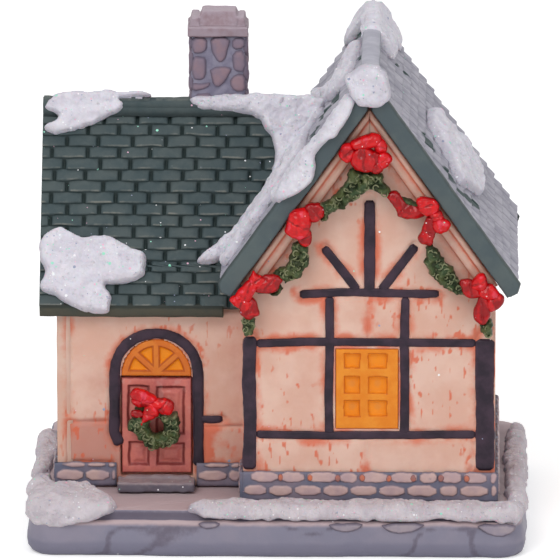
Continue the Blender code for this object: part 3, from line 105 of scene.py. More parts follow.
def insideOutline(points, outline):
    odd = np.zeros(len(points), bool)
    for a, b in zip(outline, np.roll(outline, -1, axis=0)):
        crosses = (a[1] > points[:, 1]) != (b[1] > points[:, 1])
        rise = b[1] - a[1] if abs(b[1] - a[1]) > 1e-12 else 1e-12
        odd ^= crosses & (points[:, 0] < (b[0] - a[0]) * (points[:, 1] - a[1]) / rise + a[0])
    return odd


def evenPoints(line, spacing, least, endpoint=True):
    # even points along a line, and how far along it each of them is
    along = np.concatenate([[0], np.cumsum(np.hypot(*np.diff(line, axis=0).T))])
    where = np.linspace(0, along[-1], max(least, int(along[-1] / spacing)), endpoint=endpoint)
    return np.stack([np.interp(where, along, line[:, 0]), np.interp(where, along, line[:, 1])], 1), where


def unsteady(points, amount, size, seed, otherSeed):
    # the points, each moved a little by two noises
    return points + amount * np.stack([lumps(points, size, seed, 2), lumps(points, size, otherSeed, 2)], 1)


def resample(outline, spacing, wobble=0.0, wobbleSize=1.2, seed=1, rounds=2):
    # even points along a closed outline, with its corners softened and its line made unsteady
    points = np.asarray(outline, float)
    for cut in range(rounds):
        after = np.roll(points, -1, axis=0)
        points = np.stack([points * 0.75 + after * 0.25, points * 0.25 + after * 0.75], 1).reshape(-1, 2)
    even = evenPoints(np.vstack([points, points[:1]]), spacing, 8, endpoint=False)[0]
    return unsteady(even, wobble, wobbleSize, seed, seed + 9) if wobble else even


def addToScene(thing):
    bpy.context.scene.collection.objects.link(thing)


def makePiece(name, verts, faces, finish, stands=(), body="house", slotName=None, masks=None, mend=True):
    # one object from plain lists in millimetres, hung on its body, standing for the CAD nodes named
    mesh = bpy.data.meshes.new(name)
    mesh.from_pydata((np.asarray(verts, float) * mm).tolist(), [], [tuple(face) for face in faces])
    mesh.validate()
    for maskName, values in (masks or {}).items():
        layer = mesh.attributes.new(maskName, "FLOAT", "POINT")
        layer.data.foreach_set("value", np.asarray(values, np.float32))
    if mend:                                     # turn every face outwards
        work = bmesh.new()
        work.from_mesh(mesh)
        bmesh.ops.recalc_face_normals(work, faces=work.faces)
        work.to_mesh(mesh)
        work.free()
    mesh.shade_smooth()
    piece = bpy.data.objects.new(name, mesh)
    addToScene(piece)
    mesh.materials.append(made[finish])
    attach(piece, body)
    if stands:
        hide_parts(*stands)
    return piece


def gridFaces(rows, columns, start=0, flip=False, around=False):
    # quads of a grid of points that is stored row by row; around joins its last column to the first
    faces = []
    width = columns if around else columns - 1
    for r in range(rows - 1):
        for c in range(width):
            a = start + r * columns + c
            b = start + r * columns + (c + 1) % columns
            quad = (a, b, b + columns, a + columns)
            faces.append(quad[::-1] if flip else quad)
    return faces


def shell(top, bottom):
    # a closed skin from two grids of points of one size: (verts, faces)
    rows, columns = top.shape[:2]
    count = rows * columns
    faces = gridFaces(rows, columns) + gridFaces(rows, columns, count, flip=True)
    rim = (list(range(columns - 1)) + [r * columns + columns - 1 for r in range(rows - 1)]
           + [(rows - 1) * columns + c for c in range(columns - 1, 0, -1)]
           + [r * columns for r in range(rows - 1, 0, -1)])
    for a, b in zip(rim, rim[1:] + rim[:1]):
        faces.append((b, a, a + count, b + count))
    return np.vstack([top.reshape(-1, 3), bottom.reshape(-1, 3)]), faces


def ringSkin(rings):
    # a closed skin through rings of one size, capped at both ends
    rings = np.array(rings)
    count, around = rings.shape[:2]
    faces = gridFaces(count, around, around=True)
    faces.append(tuple(range(around))[::-1])
    faces.append(tuple(range((count - 1) * around, count * around)))
    return rings.reshape(-1, 3), faces


def cushion(outline, place, rise, edge=0.5, spacing=0.2, lump=0.0, lumpSize=1.0, seed=1, depth=0.2, crown=0.0,
            wobble=0.0, wobbleSize=1.2, rounds=2, extra=None):
    # a rounded lump over an outline: (verts, faces, distance from the edge at each point)
    rim = resample(outline, spacing, wobble, wobbleSize, seed, rounds)
    low, high = rim.min(0), rim.max(0)
    xs = np.arange(low[0], high[0] + spacing, spacing)
    ys = np.arange(low[1], high[1] + spacing, spacing * 0.87)
    field = np.stack(np.meshgrid(xs, ys), -1)
    field[1::2, :, 0] += spacing / 2
    field = field.reshape(-1, 2)
    field = field[insideOutline(field, rim)]
    if len(field):
        field = field[edgeDistance(field, rim) > spacing * 0.45]
    flat = np.vstack([rim, field]) if len(field) else rim
    edges = [(i, (i + 1) % len(rim)) for i in range(len(rim))]
    result = delaunay_2d_cdt([Vector(p) for p in flat.tolist()], edges, [], 1, 1e-6)
    flat = np.array([tuple(v) for v in result[0]])
    tris = [tuple(face) for face in result[2]]
    away = edgeDistance(flat, rim)
    ramp = np.clip(away / edge, 0, 1)
    height = rise * np.sqrt(1 - (1 - ramp) ** 2)
    if crown:
        height = height + crown * fade(0, away.max() + 1e-6, away)
    if lump:
        height = height + lump * lumps(flat, lumpSize, seed + 3, 3) * fade(0, edge, away)
    if extra is not None:
        height = height + extra(flat) * fade(0, edge, away)
    top = place(flat[:, 0], flat[:, 1], height)
    bottom = place(flat[:, 0], flat[:, 1], np.full(len(flat), -depth))
    count = len(flat)
    uses = dict.fromkeys(pair for tri in tris for pair in zip(tri, tri[1:] + tri[:1]))
    faces = tris + [tuple(i + count for i in tri[::-1]) for tri in tris]
    for a, b in uses:
        if (b, a) not in uses:
            faces.append((b, a, a + count, b + count))
    return np.vstack([top, bottom]), faces, np.concatenate([away, np.zeros(count)])


def softLump(soft, *shape, **look):
    # a cushion with a mask that is 1 at its edge and 0 this far inside it
    verts, faces, away = cushion(*shape, **look)
    return verts, faces, fade(soft, 0.0, away)


def onWall(way, plane, start=0.0, along=1, foot=0.0):
    # puts points on an upright face that looks this way: u runs along it, v up it, and height stands off it
    axis, sign = {"front": (1, -1), "back": (1, 1), "left": (0, -1), "right": (0, 1)}[way]

    def put(u, v, height):
        spot = [start + along * u, start + along * u, foot + v]
        spot[axis] = plane + sign * height
        return np.stack(spot, -1)
    return put


def rectangle(left, right, low, high):
    return np.array([(left, low), (right, low), (right, high), (left, high)])


def flatGrid(left, right, low, high, columns, rows):
    # a flat grid: its two coordinates, its points in one list, and how far each is from the edge
    across = np.linspace(left, right, columns)[None, :].repeat(rows, 0)
    up = np.linspace(low, high, rows)[:, None].repeat(columns, 1)
    flat = np.stack([across.ravel(), up.ravel()], 1)
    rim = np.minimum.reduce([flat[:, 0] - left, right - flat[:, 0], flat[:, 1] - low, high - flat[:, 1]])
    return across, up, flat, rim


def topOnly(**masks):
    # masks of a sheet's outer face, with nothing on its inner one
    return {name: np.concatenate([np.ravel(mask), np.zeros(np.size(mask))]) for name, mask in masks.items()}


def mergeMasked(parts, flips=None):
    # several (verts, faces, masks) into one; flips says which of them have their faces turned round
    verts, faces, masks, start = [], [], {}, 0
    for index, (partVerts, partFaces, partMasks) in enumerate(parts):
        verts.append(partVerts)
        turned = flips is not None and flips[index]
        faces += [tuple(i + start for i in (face[::-1] if turned else face)) for face in partFaces]
        for key, values in partMasks.items():
            masks.setdefault(key, []).append(values)
        start += len(partVerts)
    return np.vstack(verts), faces, {key: np.concatenate(values) for key, values in masks.items()}


def joinParts(parts):
    # the same for parts with one mask each
    verts, faces, masks = mergeMasked([(verts, faces, {"mask": mask}) for verts, faces, mask in parts])
    return verts, faces, masks["mask"]


def meltTogether(name, verts, faces, voxel, smoothRounds=6, lump=0.0, lumpSize=0.8, seed=1):
    # fuse overlapping lumps into one soft cast: (verts, faces, normals)
    mesh = bpy.data.meshes.new(name + "_lumps")
    mesh.from_pydata((np.asarray(verts) * mm).tolist(), [], faces)
    piece = bpy.data.objects.new(name + "_lumps", mesh)
    addToScene(piece)
    fuse = piece.modifiers.new("fuse", "REMESH")
    fuse.mode = "VOXEL"
    fuse.voxel_size = voxel * mm
    soften = piece.modifiers.new("soften", "SMOOTH")
    soften.iterations = smoothRounds
    soften.factor = 0.5
    done = piece.evaluated_get(bpy.context.evaluated_depsgraph_get()).to_mesh()
    points, normals = np.empty((2, len(done.vertices) * 3))
    done.vertices.foreach_get("co", points)
    done.vertices.foreach_get("normal", normals)
    points, normals = points.reshape(-1, 3) / mm, normals.reshape(-1, 3)
    newFaces = [tuple(face.vertices) for face in done.polygons]
    bpy.data.objects.remove(piece)
    bpy.data.meshes.remove(mesh)
    if lump:
        points = points + normals * (lump * lumps(points, lumpSize, seed, 2))[:, None]
    return points, newFaces, normals


def makeJoined(name, parts, finish, stands=(), slotName=None, maskName="rim"):
    # one piece from parts that have one mask each
    verts, faces, mask = joinParts(parts)
    makePiece(name, verts, faces, finish, stands, slotName=slotName, masks={maskName: mask})


# finishes

def paint(red, green, blue):
    # a colour as a paint chart gives it, 0 to 255
    def channel(value):
        value = value / 255
        return value / 12.92 if value <= 0.04045 else ((value + 0.055) / 1.055) ** 2.4
    return (channel(red), channel(green), channel(blue), 1.0)


def newGroup(name, inputs, outputs):
    group = bpy.data.node_groups.new(name, "ShaderNodeTree")
    kinds = {"colour": "NodeSocketColor", "value": "NodeSocketFloat"}
    for socketName, kind, start in inputs:
        socket = group.interface.new_socket(socketName, in_out="INPUT", socket_type=kinds[kind])
        socket.default_value = start
    for socketName, kind in outputs:
        group.interface.new_socket(socketName, in_out="OUTPUT", socket_type=kinds[kind])
    return group, group.nodes.new("NodeGroupInput"), group.nodes.new("NodeGroupOutput")


def addNode(tree, kind, values=None, **settings):
    node = tree.nodes.new(kind)
    for key, value in settings.items():
        setattr(node, key, value)
    for key, value in (values or {}).items():
        node.inputs[key].default_value = value
    return node


def millimetres(tree):
    # the piece's own place in space, in millimetres
    where = tree.nodes.new("ShaderNodeTexCoord")
    scaled = addNode(tree, "ShaderNodeMapping", {"Scale": (1000, 1000, 1000)})
    tree.links.new(where.outputs["Object"], scaled.inputs["Vector"])
    return scaled.outputs["Vector"]


def feed(tree, socket, value):
    # a socket takes a plain value, or a link from another socket
    if isinstance(value, (int, float, tuple)):
        socket.default_value = value
    elif value is not None:
        tree.links.new(value, socket)


def mixColour(tree, factor, first, second):
    node = addNode(tree, "ShaderNodeMix", data_type="RGBA", blend_type="MIX")
    for index, value in ((0, factor), (6, first), (7, second)):
        feed(tree, node.inputs[index], value)
    return node.outputs[2]


def doMath(tree, operation, first, second, clamp=False):
    node = addNode(tree, "ShaderNodeMath", operation=operation, use_clamp=clamp)
    feed(tree, node.inputs[0], first)
    feed(tree, node.inputs[1], second)
    return node.outputs[0]


def remap(tree, value, low, high, toLow=0.0, toHigh=1.0):
    node = addNode(tree, "ShaderNodeMapRange", {"From Min": low, "From Max": high, "To Min": toLow,
                                                "To Max": toHigh}, interpolation_type="SMOOTHSTEP")
    tree.links.new(value, node.inputs["Value"])
    return node.outputs["Result"]


def textureBySize(tree, kind, size, factor=1.0, **values):
    # a texture whose lumps are about as large as the size socket says, in millimetres
    node = addNode(tree, kind, values)
    tree.links.new(millimetres(tree), node.inputs["Vector"])
    tree.links.new(doMath(tree, "DIVIDE", factor, size), node.inputs["Scale"])
    return node


def makeMottle():
    # hand-laid colour: broad clouds of a second tone, and small blotches of a third
    white = (1, 1, 1, 1)
    tree, given, out = newGroup(
        "brushedMottle",
        (("Base", "colour", white), ("Cloud", "colour", white), ("Blotch", "colour", white),
         ("Cloud Size", "value", 6.0), ("Blotch Size", "value", 0.8), ("Blotch Share", "value", 0.3)),
        (("Color", "colour"), ("Clouds", "value")))
    broad, small = (textureBySize(tree, "ShaderNodeTexNoise", given.outputs[size], Detail=4.0, Roughness=0.6).outputs[0]
                    for size in ("Cloud Size", "Blotch Size"))
    clouds = remap(tree, broad, 0.36, 0.64)
    colour = mixColour(tree, clouds, given.outputs["Base"], given.outputs["Cloud"])
    start = doMath(tree, "SUBTRACT", 0.78, doMath(tree, "MULTIPLY", given.outputs["Blotch Share"], 0.4))
    blotch = doMath(tree, "MULTIPLY", doMath(tree, "SUBTRACT", small, start), 7.0, clamp=True)
    tree.links.new(mixColour(tree, blotch, colour, given.outputs["Blotch"]), out.inputs["Color"])
    tree.links.new(clouds, out.inputs["Clouds"])
    return tree


def makeWash():
    # thin paint that gathers at the mask, with an uneven border
    tree, given, out = newGroup(
        "edgeWash",
        (("Color", "colour", (1, 1, 1, 1)), ("Wash", "colour", (0, 0, 0, 1)), ("Mask", "value", 0.0),
         ("Amount", "value", 1.0), ("Break Size", "value", 0.9)), (("Color", "colour"),))
    noise = textureBySize(tree, "ShaderNodeTexNoise", given.outputs["Break Size"], Detail=3.0, Roughness=0.6)
    broken = doMath(tree, "ADD", given.outputs["Mask"],
                    doMath(tree, "MULTIPLY", doMath(tree, "SUBTRACT", noise.outputs[0], 0.5), 0.9))
    share = doMath(tree, "MULTIPLY", remap(tree, broken, 0.22, 0.95), given.outputs["Mask"])
    share = doMath(tree, "MULTIPLY", doMath(tree, "POWER", share, 0.7), given.outputs["Amount"], clamp=True)
    tree.links.new(mixColour(tree, share, given.outputs["Color"], given.outputs["Wash"]), out.inputs["Color"])
    return tree


def makeGlitter():
    # tiny flakes pressed into the paint: bright specks of a few pale colours
    tree, given, out = newGroup(
        "glitterSpecks",
        (("Color", "colour", (1, 1, 1, 1)), ("Cell Size", "value", 0.6), ("Share", "value", 0.2),
         ("Radius", "value", 0.22), ("Strength", "value", 1.0)), (("Color", "colour"), ("Mask", "value")))
    cells = textureBySize(tree, "ShaderNodeTexVoronoi", given.outputs["Cell Size"], Randomness=1.0)
    split = tree.nodes.new("ShaderNodeSeparateColor")
    tree.links.new(cells.outputs["Color"], split.inputs[0])
    chosen = doMath(tree, "LESS_THAN", split.outputs[0], given.outputs["Share"])
    small = doMath(tree, "LESS_THAN", cells.outputs["Distance"],
                   doMath(tree, "MULTIPLY", given.outputs["Radius"], doMath(tree, "ADD", split.outputs[1], 0.45)))
    tints = addNode(tree, "ShaderNodeValToRGB")
    tints.color_ramp.interpolation = "CONSTANT"
    stops = ((0.0, (252, 252, 255)), (0.34, (160, 232, 206)), (0.6, (238, 186, 210)), (0.78, (158, 164, 190)))
    for index, (at, tint) in enumerate(stops):
        stop = tints.color_ramp.elements[index] if index < 2 else tints.color_ramp.elements.new(at)
        stop.position = at
        stop.color = paint(*tint)
    tree.links.new(split.outputs[2], tints.inputs[0])
    mask = doMath(tree, "MULTIPLY", doMath(tree, "MULTIPLY", chosen, small), given.outputs["Strength"], clamp=True)
    tree.links.new(mixColour(tree, mask, given.outputs["Color"], tints.outputs[0]), out.inputs["Color"])
    tree.links.new(mask, out.inputs["Mask"])
    return tree


def makeGrain():
    # the pitted, grainy skin of cast resin
    tree, given, out = newGroup("resinGrain", (("Size", "value", 0.3), ("Pits", "value", 0.3)), (("Height", "value"),))
    grain = textureBySize(tree, "ShaderNodeTexNoise", given.outputs["Size"], Detail=5.0, Roughness=0.62)
    pits = textureBySize(tree, "ShaderNodeTexVoronoi", given.outputs["Size"], 0.55, Randomness=1.0)
    hollow = doMath(tree, "MULTIPLY", remap(tree, pits.outputs["Distance"], 0.0, 0.28, 1.0, 0.0), given.outputs["Pits"])
    tree.links.new(doMath(tree, "SUBTRACT", grain.outputs[0], hollow), out.inputs["Height"])
    return tree


mottleGroup, washGroup, glitterGroup, grainGroup = makeMottle(), makeWash(), makeGlitter(), makeGrain()


def placeGroup(tree, group, values, **links):
    node = tree.nodes.new("ShaderNodeGroup")
    node.node_tree = group
    for key, value in values.items():
        node.inputs[key].default_value = value
    for key, link in links.items():
        tree.links.new(link, node.inputs[key.replace("_", " ")])
    return node


def makeFinish(name, look):
    # one painted finish; look holds everything that a user would change
    finish = bpy.data.materials.new(name)
    finish.use_nodes = True
    tree = finish.node_tree
    shader = tree.nodes["Principled BSDF"]
    mottle = placeGroup(tree, mottleGroup, {
        "Base": paint(*look["base"]), "Cloud": paint(*look["cloud"]), "Blotch": paint(*look["blotch"]),
        "Cloud Size": look.get("cloudSize", 6.0), "Blotch Size": look.get("blotchSize", 0.8),
        "Blotch Share": look.get("blotchShare", 0.25)})
    colour = mottle.outputs["Color"]
    for maskName, tint, amount, breakSize in look.get("washes", ()):
        mask = addNode(tree, "ShaderNodeAttribute", attribute_name=maskName).outputs["Fac"]
        colour = placeGroup(tree, washGroup, {"Wash": paint(*tint), "Amount": amount, "Break Size": breakSize},
                            Color=colour, Mask=mask).outputs["Color"]
    rough = remap(tree, mottle.outputs["Clouds"], 0.0, 1.0, *look["rough"])
    for cell, share, radius, strength in look.get("glitter", ()):
        specks = placeGroup(tree, glitterGroup, {"Cell Size": cell, "Share": share, "Radius": radius,
                                                 "Strength": strength}, Color=colour)
        colour = specks.outputs["Color"]
        rough = doMath(tree, "SUBTRACT", rough, doMath(tree, "MULTIPLY", specks.outputs["Mask"], 0.3))
    grain = placeGroup(tree, grainGroup, {"Size": look.get("grainSize", 0.3), "Pits": look.get("pits", 0.2)})
    bump = addNode(tree, "ShaderNodeBump", {"Strength": look["bump"], "Distance": look.get("relief", 0.08) * mm})
    tree.links.new(grain.outputs["Height"], bump.inputs["Height"])
    tree.links.new(colour, shader.inputs["Base Color"])
    tree.links.new(rough, shader.inputs["Roughness"])
    tree.links.new(bump.outputs["Normal"], shader.inputs["Normal"])
    shader.inputs["Specular IOR Level"].default_value = 0.15
    for socketName, value in look.get("shader", {}).items():
        shader.inputs[socketName].default_value = value
    if "glow" in look:
        tree.links.new(colour, shader.inputs["Emission Color"])
        shader.inputs["Emission Strength"].default_value = look["glow"]
    return finish


glitterHeavy = ((0.45, 0.34, 0.22, 0.8), (1.0, 0.28, 0.17, 0.95), (2.4, 0.25, 0.09, 1.0))

snowSkin = {"cloudSize": 2.6, "blotchSize": 0.5, "rough": (0.6, 0.75), "bump": 1.0, "grainSize": 0.5, "pits": 0.5,
            "relief": 0.3, "glitter": glitterHeavy, "shader": {"Subsurface Weight": 0.1, "Subsurface Scale": 0.0008}}
finishes = {
    # the gap wash of the main tiles is painted shade, in the slots between tiles and under each row's lip
    "mainTiles": {"base": (63, 76, 79), "cloud": (77, 87, 88), "blotch": (112, 100, 98), "blotchShare": 0.12,
        "cloudSize": 4.0, "blotchSize": 1.6, "rough": (0.42, 0.58), "bump": 0.5, "grainSize": 0.35,
        "washes": (("gap", (30, 42, 42), 1.0, 1.5), ("worn", (132, 132, 124), 0.75, 0.5)),
        "glitter": ((0.7, 0.16, 0.14, 0.9), (2.2, 0.2, 0.08, 1.0))},
    # the gap wash of the gable tiles is painted shade too, in the slots and under each row's lip
    "gableTiles": {"base": (170, 167, 178), "cloud": (151, 149, 161), "blotch": (110, 114, 123), "blotchShare": 0.12,
        "cloudSize": 3.0, "blotchSize": 1.2, "rough": (0.5, 0.65), "bump": 0.5,
        "washes": (("gap", (58, 70, 76), 1.0, 1.5), ("bare", (50, 66, 66), 1.0, 0.8)),
        "glitter": ((0.8, 0.07, 0.12, 0.7),)},
    "ridgePaint": {"base": (176, 175, 186), "cloud": (162, 161, 173), "blotch": (150, 150, 162), "rough": (0.5, 0.6),
        "bump": 0.3, "washes": (("rim", (118, 122, 132), 0.7, 0.8),)},
    # the rim wash on the eave edge is a painted shadow of the tiles above it
    "eavePaint": {"base": (64, 68, 62), "cloud": (78, 76, 66), "blotch": (108, 90, 84), "blotchShare": 0.15,
        "rough": (0.4, 0.55), "bump": 0.4, "washes": (("rim", (40, 46, 44), 0.8, 0.8),)},
    "boardPaint": {"base": (78, 89, 93), "cloud": (88, 98, 99), "blotch": (66, 76, 80), "blotchShare": 0.2,
        "cloudSize": 5.0, "blotchSize": 2.2, "rough": (0.36, 0.5), "bump": 0.22,
        "washes": (("rim", (58, 64, 62), 0.7, 0.7),), "glitter": ((0.9, 0.05, 0.1, 0.8),)},
    "wallPaint": {"base": (224, 188, 172), "cloud": (216, 172, 154), "blotch": (212, 134, 108), "blotchShare": 0.13,
        "cloudSize": 7.0, "blotchSize": 0.9, "rough": (0.3, 0.46), "bump": 0.18, "grainSize": 0.5, "pits": 0.1,
        "washes": (("shade", (186, 118, 104), 0.75, 3.0), ("rim", (214, 104, 72), 0.85, 1.0)),
        "glitter": ((1.2, 0.05, 0.09, 1.0), (3.6, 0.16, 0.06, 1.0)), "shader": {"Subsurface Weight": 0.12,
        "Subsurface Scale": 0.001, "Coat Weight": 0.05}},
    "beamPaint": {"base": (46, 38, 48), "cloud": (67, 53, 65), "blotch": (38, 33, 44), "blotchShare": 0.2,
        "cloudSize": 3.5, "blotchSize": 1.1, "rough": (0.32, 0.5), "bump": 0.25,
        "washes": (("worn", (106, 85, 100), 0.45, 0.7),), "glitter": ((1.0, 0.05, 0.1, 0.9),)},
    "amberFrame": {"base": (226, 140, 44), "cloud": (219, 126, 34), "blotch": (200, 96, 26), "blotchShare": 0.15,
        "cloudSize": 2.5, "blotchSize": 0.8, "rough": (0.28, 0.42), "bump": 0.2, "glow": 0.05,
        "washes": (("gap", (188, 84, 20), 0.75, 0.5), ("pane", (238, 140, 10), 0.7, 0.7),
        ("dusty", (206, 132, 66), 0.55, 0.5)), "shader": {"Coat Weight": 0.08}},
    "fanPaint": {"base": (206, 108, 36), "cloud": (214, 122, 44), "blotch": (186, 88, 26), "rough": (0.25, 0.4),
        "cloudSize": 2.0, "bump": 0.15, "glow": 0.05, "washes": (("pane", (230, 138, 16), 0.95, 0.8),
        ("gap", (160, 66, 16), 0.8, 0.5)), "shader": {"Coat Weight": 0.12}},
    "doorPaint": {"base": (200, 110, 104), "cloud": (215, 125, 112), "blotch": (172, 80, 83), "blotchShare": 0.25,
        "cloudSize": 2.6, "blotchSize": 0.7, "rough": (0.22, 0.4), "bump": 0.25,
        "washes": (("gap", (118, 40, 42), 0.8, 0.6), ("worn", (214, 168, 160), 0.3, 0.5)),
        "shader": {"Coat Weight": 0.12}},
    "courseStone": {"base": (201, 171, 166), "cloud": (186, 159, 162), "blotch": (130, 119, 132), "blotchShare": 0.2,
        "cloudSize": 3.0, "blotchSize": 0.9, "rough": (0.35, 0.55), "bump": 0.4,
        "washes": (("rim", (98, 98, 116), 0.8, 0.7),), "glitter": ((0.9, 0.06, 0.12, 0.9),)},
    "courseMortar": {"base": (106, 108, 127), "cloud": (132, 121, 134), "blotch": (91, 95, 114), "rough": (0.4, 0.6),
        "bump": 0.4, "glitter": ((0.6, 0.08, 0.14, 0.8),)},
    "courseMark": {"base": (204, 118, 88), "cloud": (150, 110, 108), "blotch": (110, 100, 112), "cloudSize": 2.4,
        "rough": (0.35, 0.5), "bump": 0.3, "washes": (("rim", (112, 92, 104), 0.8, 0.5),)},
    # on the plinth the foot wash is painted shade towards the bottom, and the gap wash a painted shadow band under the
    # top edge as well as dark veins
    "plinthStone": {"base": (140, 135, 150), "cloud": (130, 128, 145), "blotch": (113, 111, 130), "blotchShare": 0.12,
        "cloudSize": 9.0, "blotchSize": 1.3, "rough": (0.4, 0.55), "bump": 0.3,
        "washes": (("foot", (121, 119, 137), 0.8, 2.5), ("gap", (92, 84, 98), 0.85, 0.7),
        ("lit", (190, 168, 170), 0.9, 2.0)), "glitter": ((1.6, 0.05, 0.07, 0.9),)},
    "slabStone": {"base": (160, 148, 155), "cloud": (145, 136, 149), "blotch": (124, 118, 132), "cloudSize": 2.4,
        "rough": (0.4, 0.55), "bump": 0.3, "washes": (("rim", (98, 90, 106), 0.75, 0.6),)},
    # the rim wash on the step is painted shade on its side faces
    "stepStone": {"base": (152, 137, 140), "cloud": (140, 126, 132), "blotch": (98, 92, 102), "blotchShare": 0.25,
        "cloudSize": 2.8, "blotchSize": 0.7, "rough": (0.35, 0.55), "bump": 0.5, "grainSize": 0.4,
        "washes": (("rim", (84, 82, 96), 0.75, 0.7),), "glitter": ((0.5, 0.12, 0.2, 0.9),)},
    "chimneyStone": {"base": (146, 122, 131), "cloud": (133, 118, 133), "blotch": (160, 133, 135), "blotchShare": 0.2,
        "cloudSize": 2.6, "blotchSize": 0.9, "rough": (0.45, 0.6), "bump": 0.4,
        "washes": (("rim", (100, 96, 114), 0.6, 0.8),)},
    "chimneyMortar": {"base": (125, 121, 141), "cloud": (143, 139, 157), "blotch": (101, 96, 116), "cloudSize": 1.8,
        "rough": (0.5, 0.65), "bump": 0.5},
    # the pale wash on the chimney cap is a painted highlight on its faces that look up
    "chimneyCap": {"base": (146, 124, 132), "cloud": (158, 142, 152), "blotch": (122, 96, 102), "blotchShare": 0.2,
        "cloudSize": 2.4, "rough": (0.45, 0.6), "bump": 0.4, "washes": (("gap", (98, 72, 80), 0.7, 0.6),
        ("worn", (190, 178, 188), 0.4, 0.6))},
    "garlandGreen": {"base": (82, 90, 55), "cloud": (64, 81, 55), "blotch": (119, 119, 87), "blotchShare": 0.35,
        "cloudSize": 1.6, "blotchSize": 0.4, "rough": (0.28, 0.45), "bump": 0.5, "grainSize": 0.2,
        "washes": (("worn", (146, 148, 114), 0.8, 0.4), ("gap", (34, 42, 26), 0.75, 0.6))},
    # on the bows the dark wash is painted shade and the pink wash a painted highlight
    "bowRed": {"base": (222, 18, 24), "cloud": (200, 17, 24), "blotch": (238, 44, 62), "blotchShare": 0.25,
        "cloudSize": 1.6, "blotchSize": 0.7, "rough": (0.12, 0.24), "bump": 0.2,
        "washes": (("gap", (134, 6, 12), 0.85, 0.6), ("worn", (236, 84, 110), 0.45, 0.5)),
        "glitter": ((0.5, 0.08, 0.18, 0.7),), "shader": {"Coat Weight": 0.25, "Coat Roughness": 0.08}},
    "snow": {**snowSkin, "base": (226, 223, 232), "cloud": (214, 210, 221), "blotch": (206, 198, 210),
        "blotchShare": 0.25, "washes": (("rim", (178, 172, 186), 0.4, 0.5),)},
    "groundSnow": {**snowSkin, "base": (212, 204, 210), "cloud": (198, 189, 197), "blotch": (180, 169, 177),
        "blotchShare": 0.3, "washes": (("rim", (160, 152, 166), 0.5, 0.5),)},
    "mouldedWhite": {"base": (226, 226, 222), "cloud": (220, 220, 216), "blotch": (212, 211, 206),
        "blotchShare": 0.08, "cloudSize": 12.0, "rough": (0.34, 0.42), "bump": 0.08, "grainSize": 0.12, "pits": 0.05},
    "mouldedGrey": {"base": (92, 94, 97), "cloud": (86, 88, 92), "blotch": (78, 80, 84), "rough": (0.4, 0.5),
        "bump": 0.12, "grainSize": 0.14},
    "clearLens": {"base": (244, 240, 224), "cloud": (240, 232, 206), "blotch": (246, 244, 236), "cloudSize": 3.0,
        "rough": (0.08, 0.14), "bump": 0.03, "shader": {"Transmission Weight": 0.7, "IOR": 1.5}},
    "steel": {"base": (192, 192, 194), "cloud": (178, 178, 182), "blotch": (160, 160, 164), "cloudSize": 3.0,
        "blotchSize": 0.5, "rough": (0.24, 0.38), "bump": 0.08, "grainSize": 0.1, "shader": {"Metallic": 1.0}},
}
made = {name: makeFinish(name, look) for name, look in finishes.items()}
print("finishes made:", len(made))


# the roofs

gable = {"centre": 13.0, "ridge": 69.0, "pitch": math.radians(54.65), "run": 21.0, "front": -21.4, "back": 23.4}
main = {"centre": 1.9, "ridge": 60.1, "pitch": math.radians(57.88), "run": 16.6, "left": -33.8, "right": 13.0}


def downGable(side):
    # a point on a gable slope: u runs back from the roof's front edge, v runs down from the ridge
    cos, sin = math.cos(gable["pitch"]), math.sin(gable["pitch"])

    def put(u, v, height):
        out = v * cos + height * sin
        return np.stack([gable["centre"] + side * out, gable["front"] + u + 0 * v,
                         gable["ridge"] - v * sin + height * cos], -1)
    return put


def downMain(side):
    # the same on a main slope: u is the place along X, v runs down from the ridge, side -1 is the front
    cos, sin = math.cos(main["pitch"]), math.sin(main["pitch"])

    def put(u, v, height):
        out = v * cos + height * sin
        return np.stack([u + 0 * v, main["centre"] + side * out, main["ridge"] - v * sin + height * cos], -1)
    return put


tileLook = {
    "thick": 1.6, "overhang": 0.42,
    "main": {"row": 1.744, "width": 4.65, "slot": 0.33, "slotDepth": 0.42, "step": 0.42, "wave": 0.1, "start": 0.55},
    "gable": {"row": 1.91, "width": 4.5, "slot": 0.16, "slotDepth": 0.34, "step": 0.46, "wave": 0.06, "start": 0.2},
    # bare dark places on the gable's slopes: (back from the front edge, down the slope, radius)
    "bareRight": ((8.6, 14.6, 2.2), (6.2, 19.6, 1.7), (5.4, 22.4, 1.6), (7.6, 24.0, 1.8), (10.6, 25.6, 1.6),
                  (33.5, 4.6, 1.7), (31.0, 8.2, 1.0), (30.0, 6.6, 0.9)),
    "bareLeft": ((37.4, 2.6, 1.9), (37.6, 5.0, 2.2), (36.2, 7.0, 1.5), (21.5, 2.3, 1.5), (16.0, 8.8, 1.9),
                 (16.6, 11.8, 1.7), (12.6, 14.0, 1.6)),
}


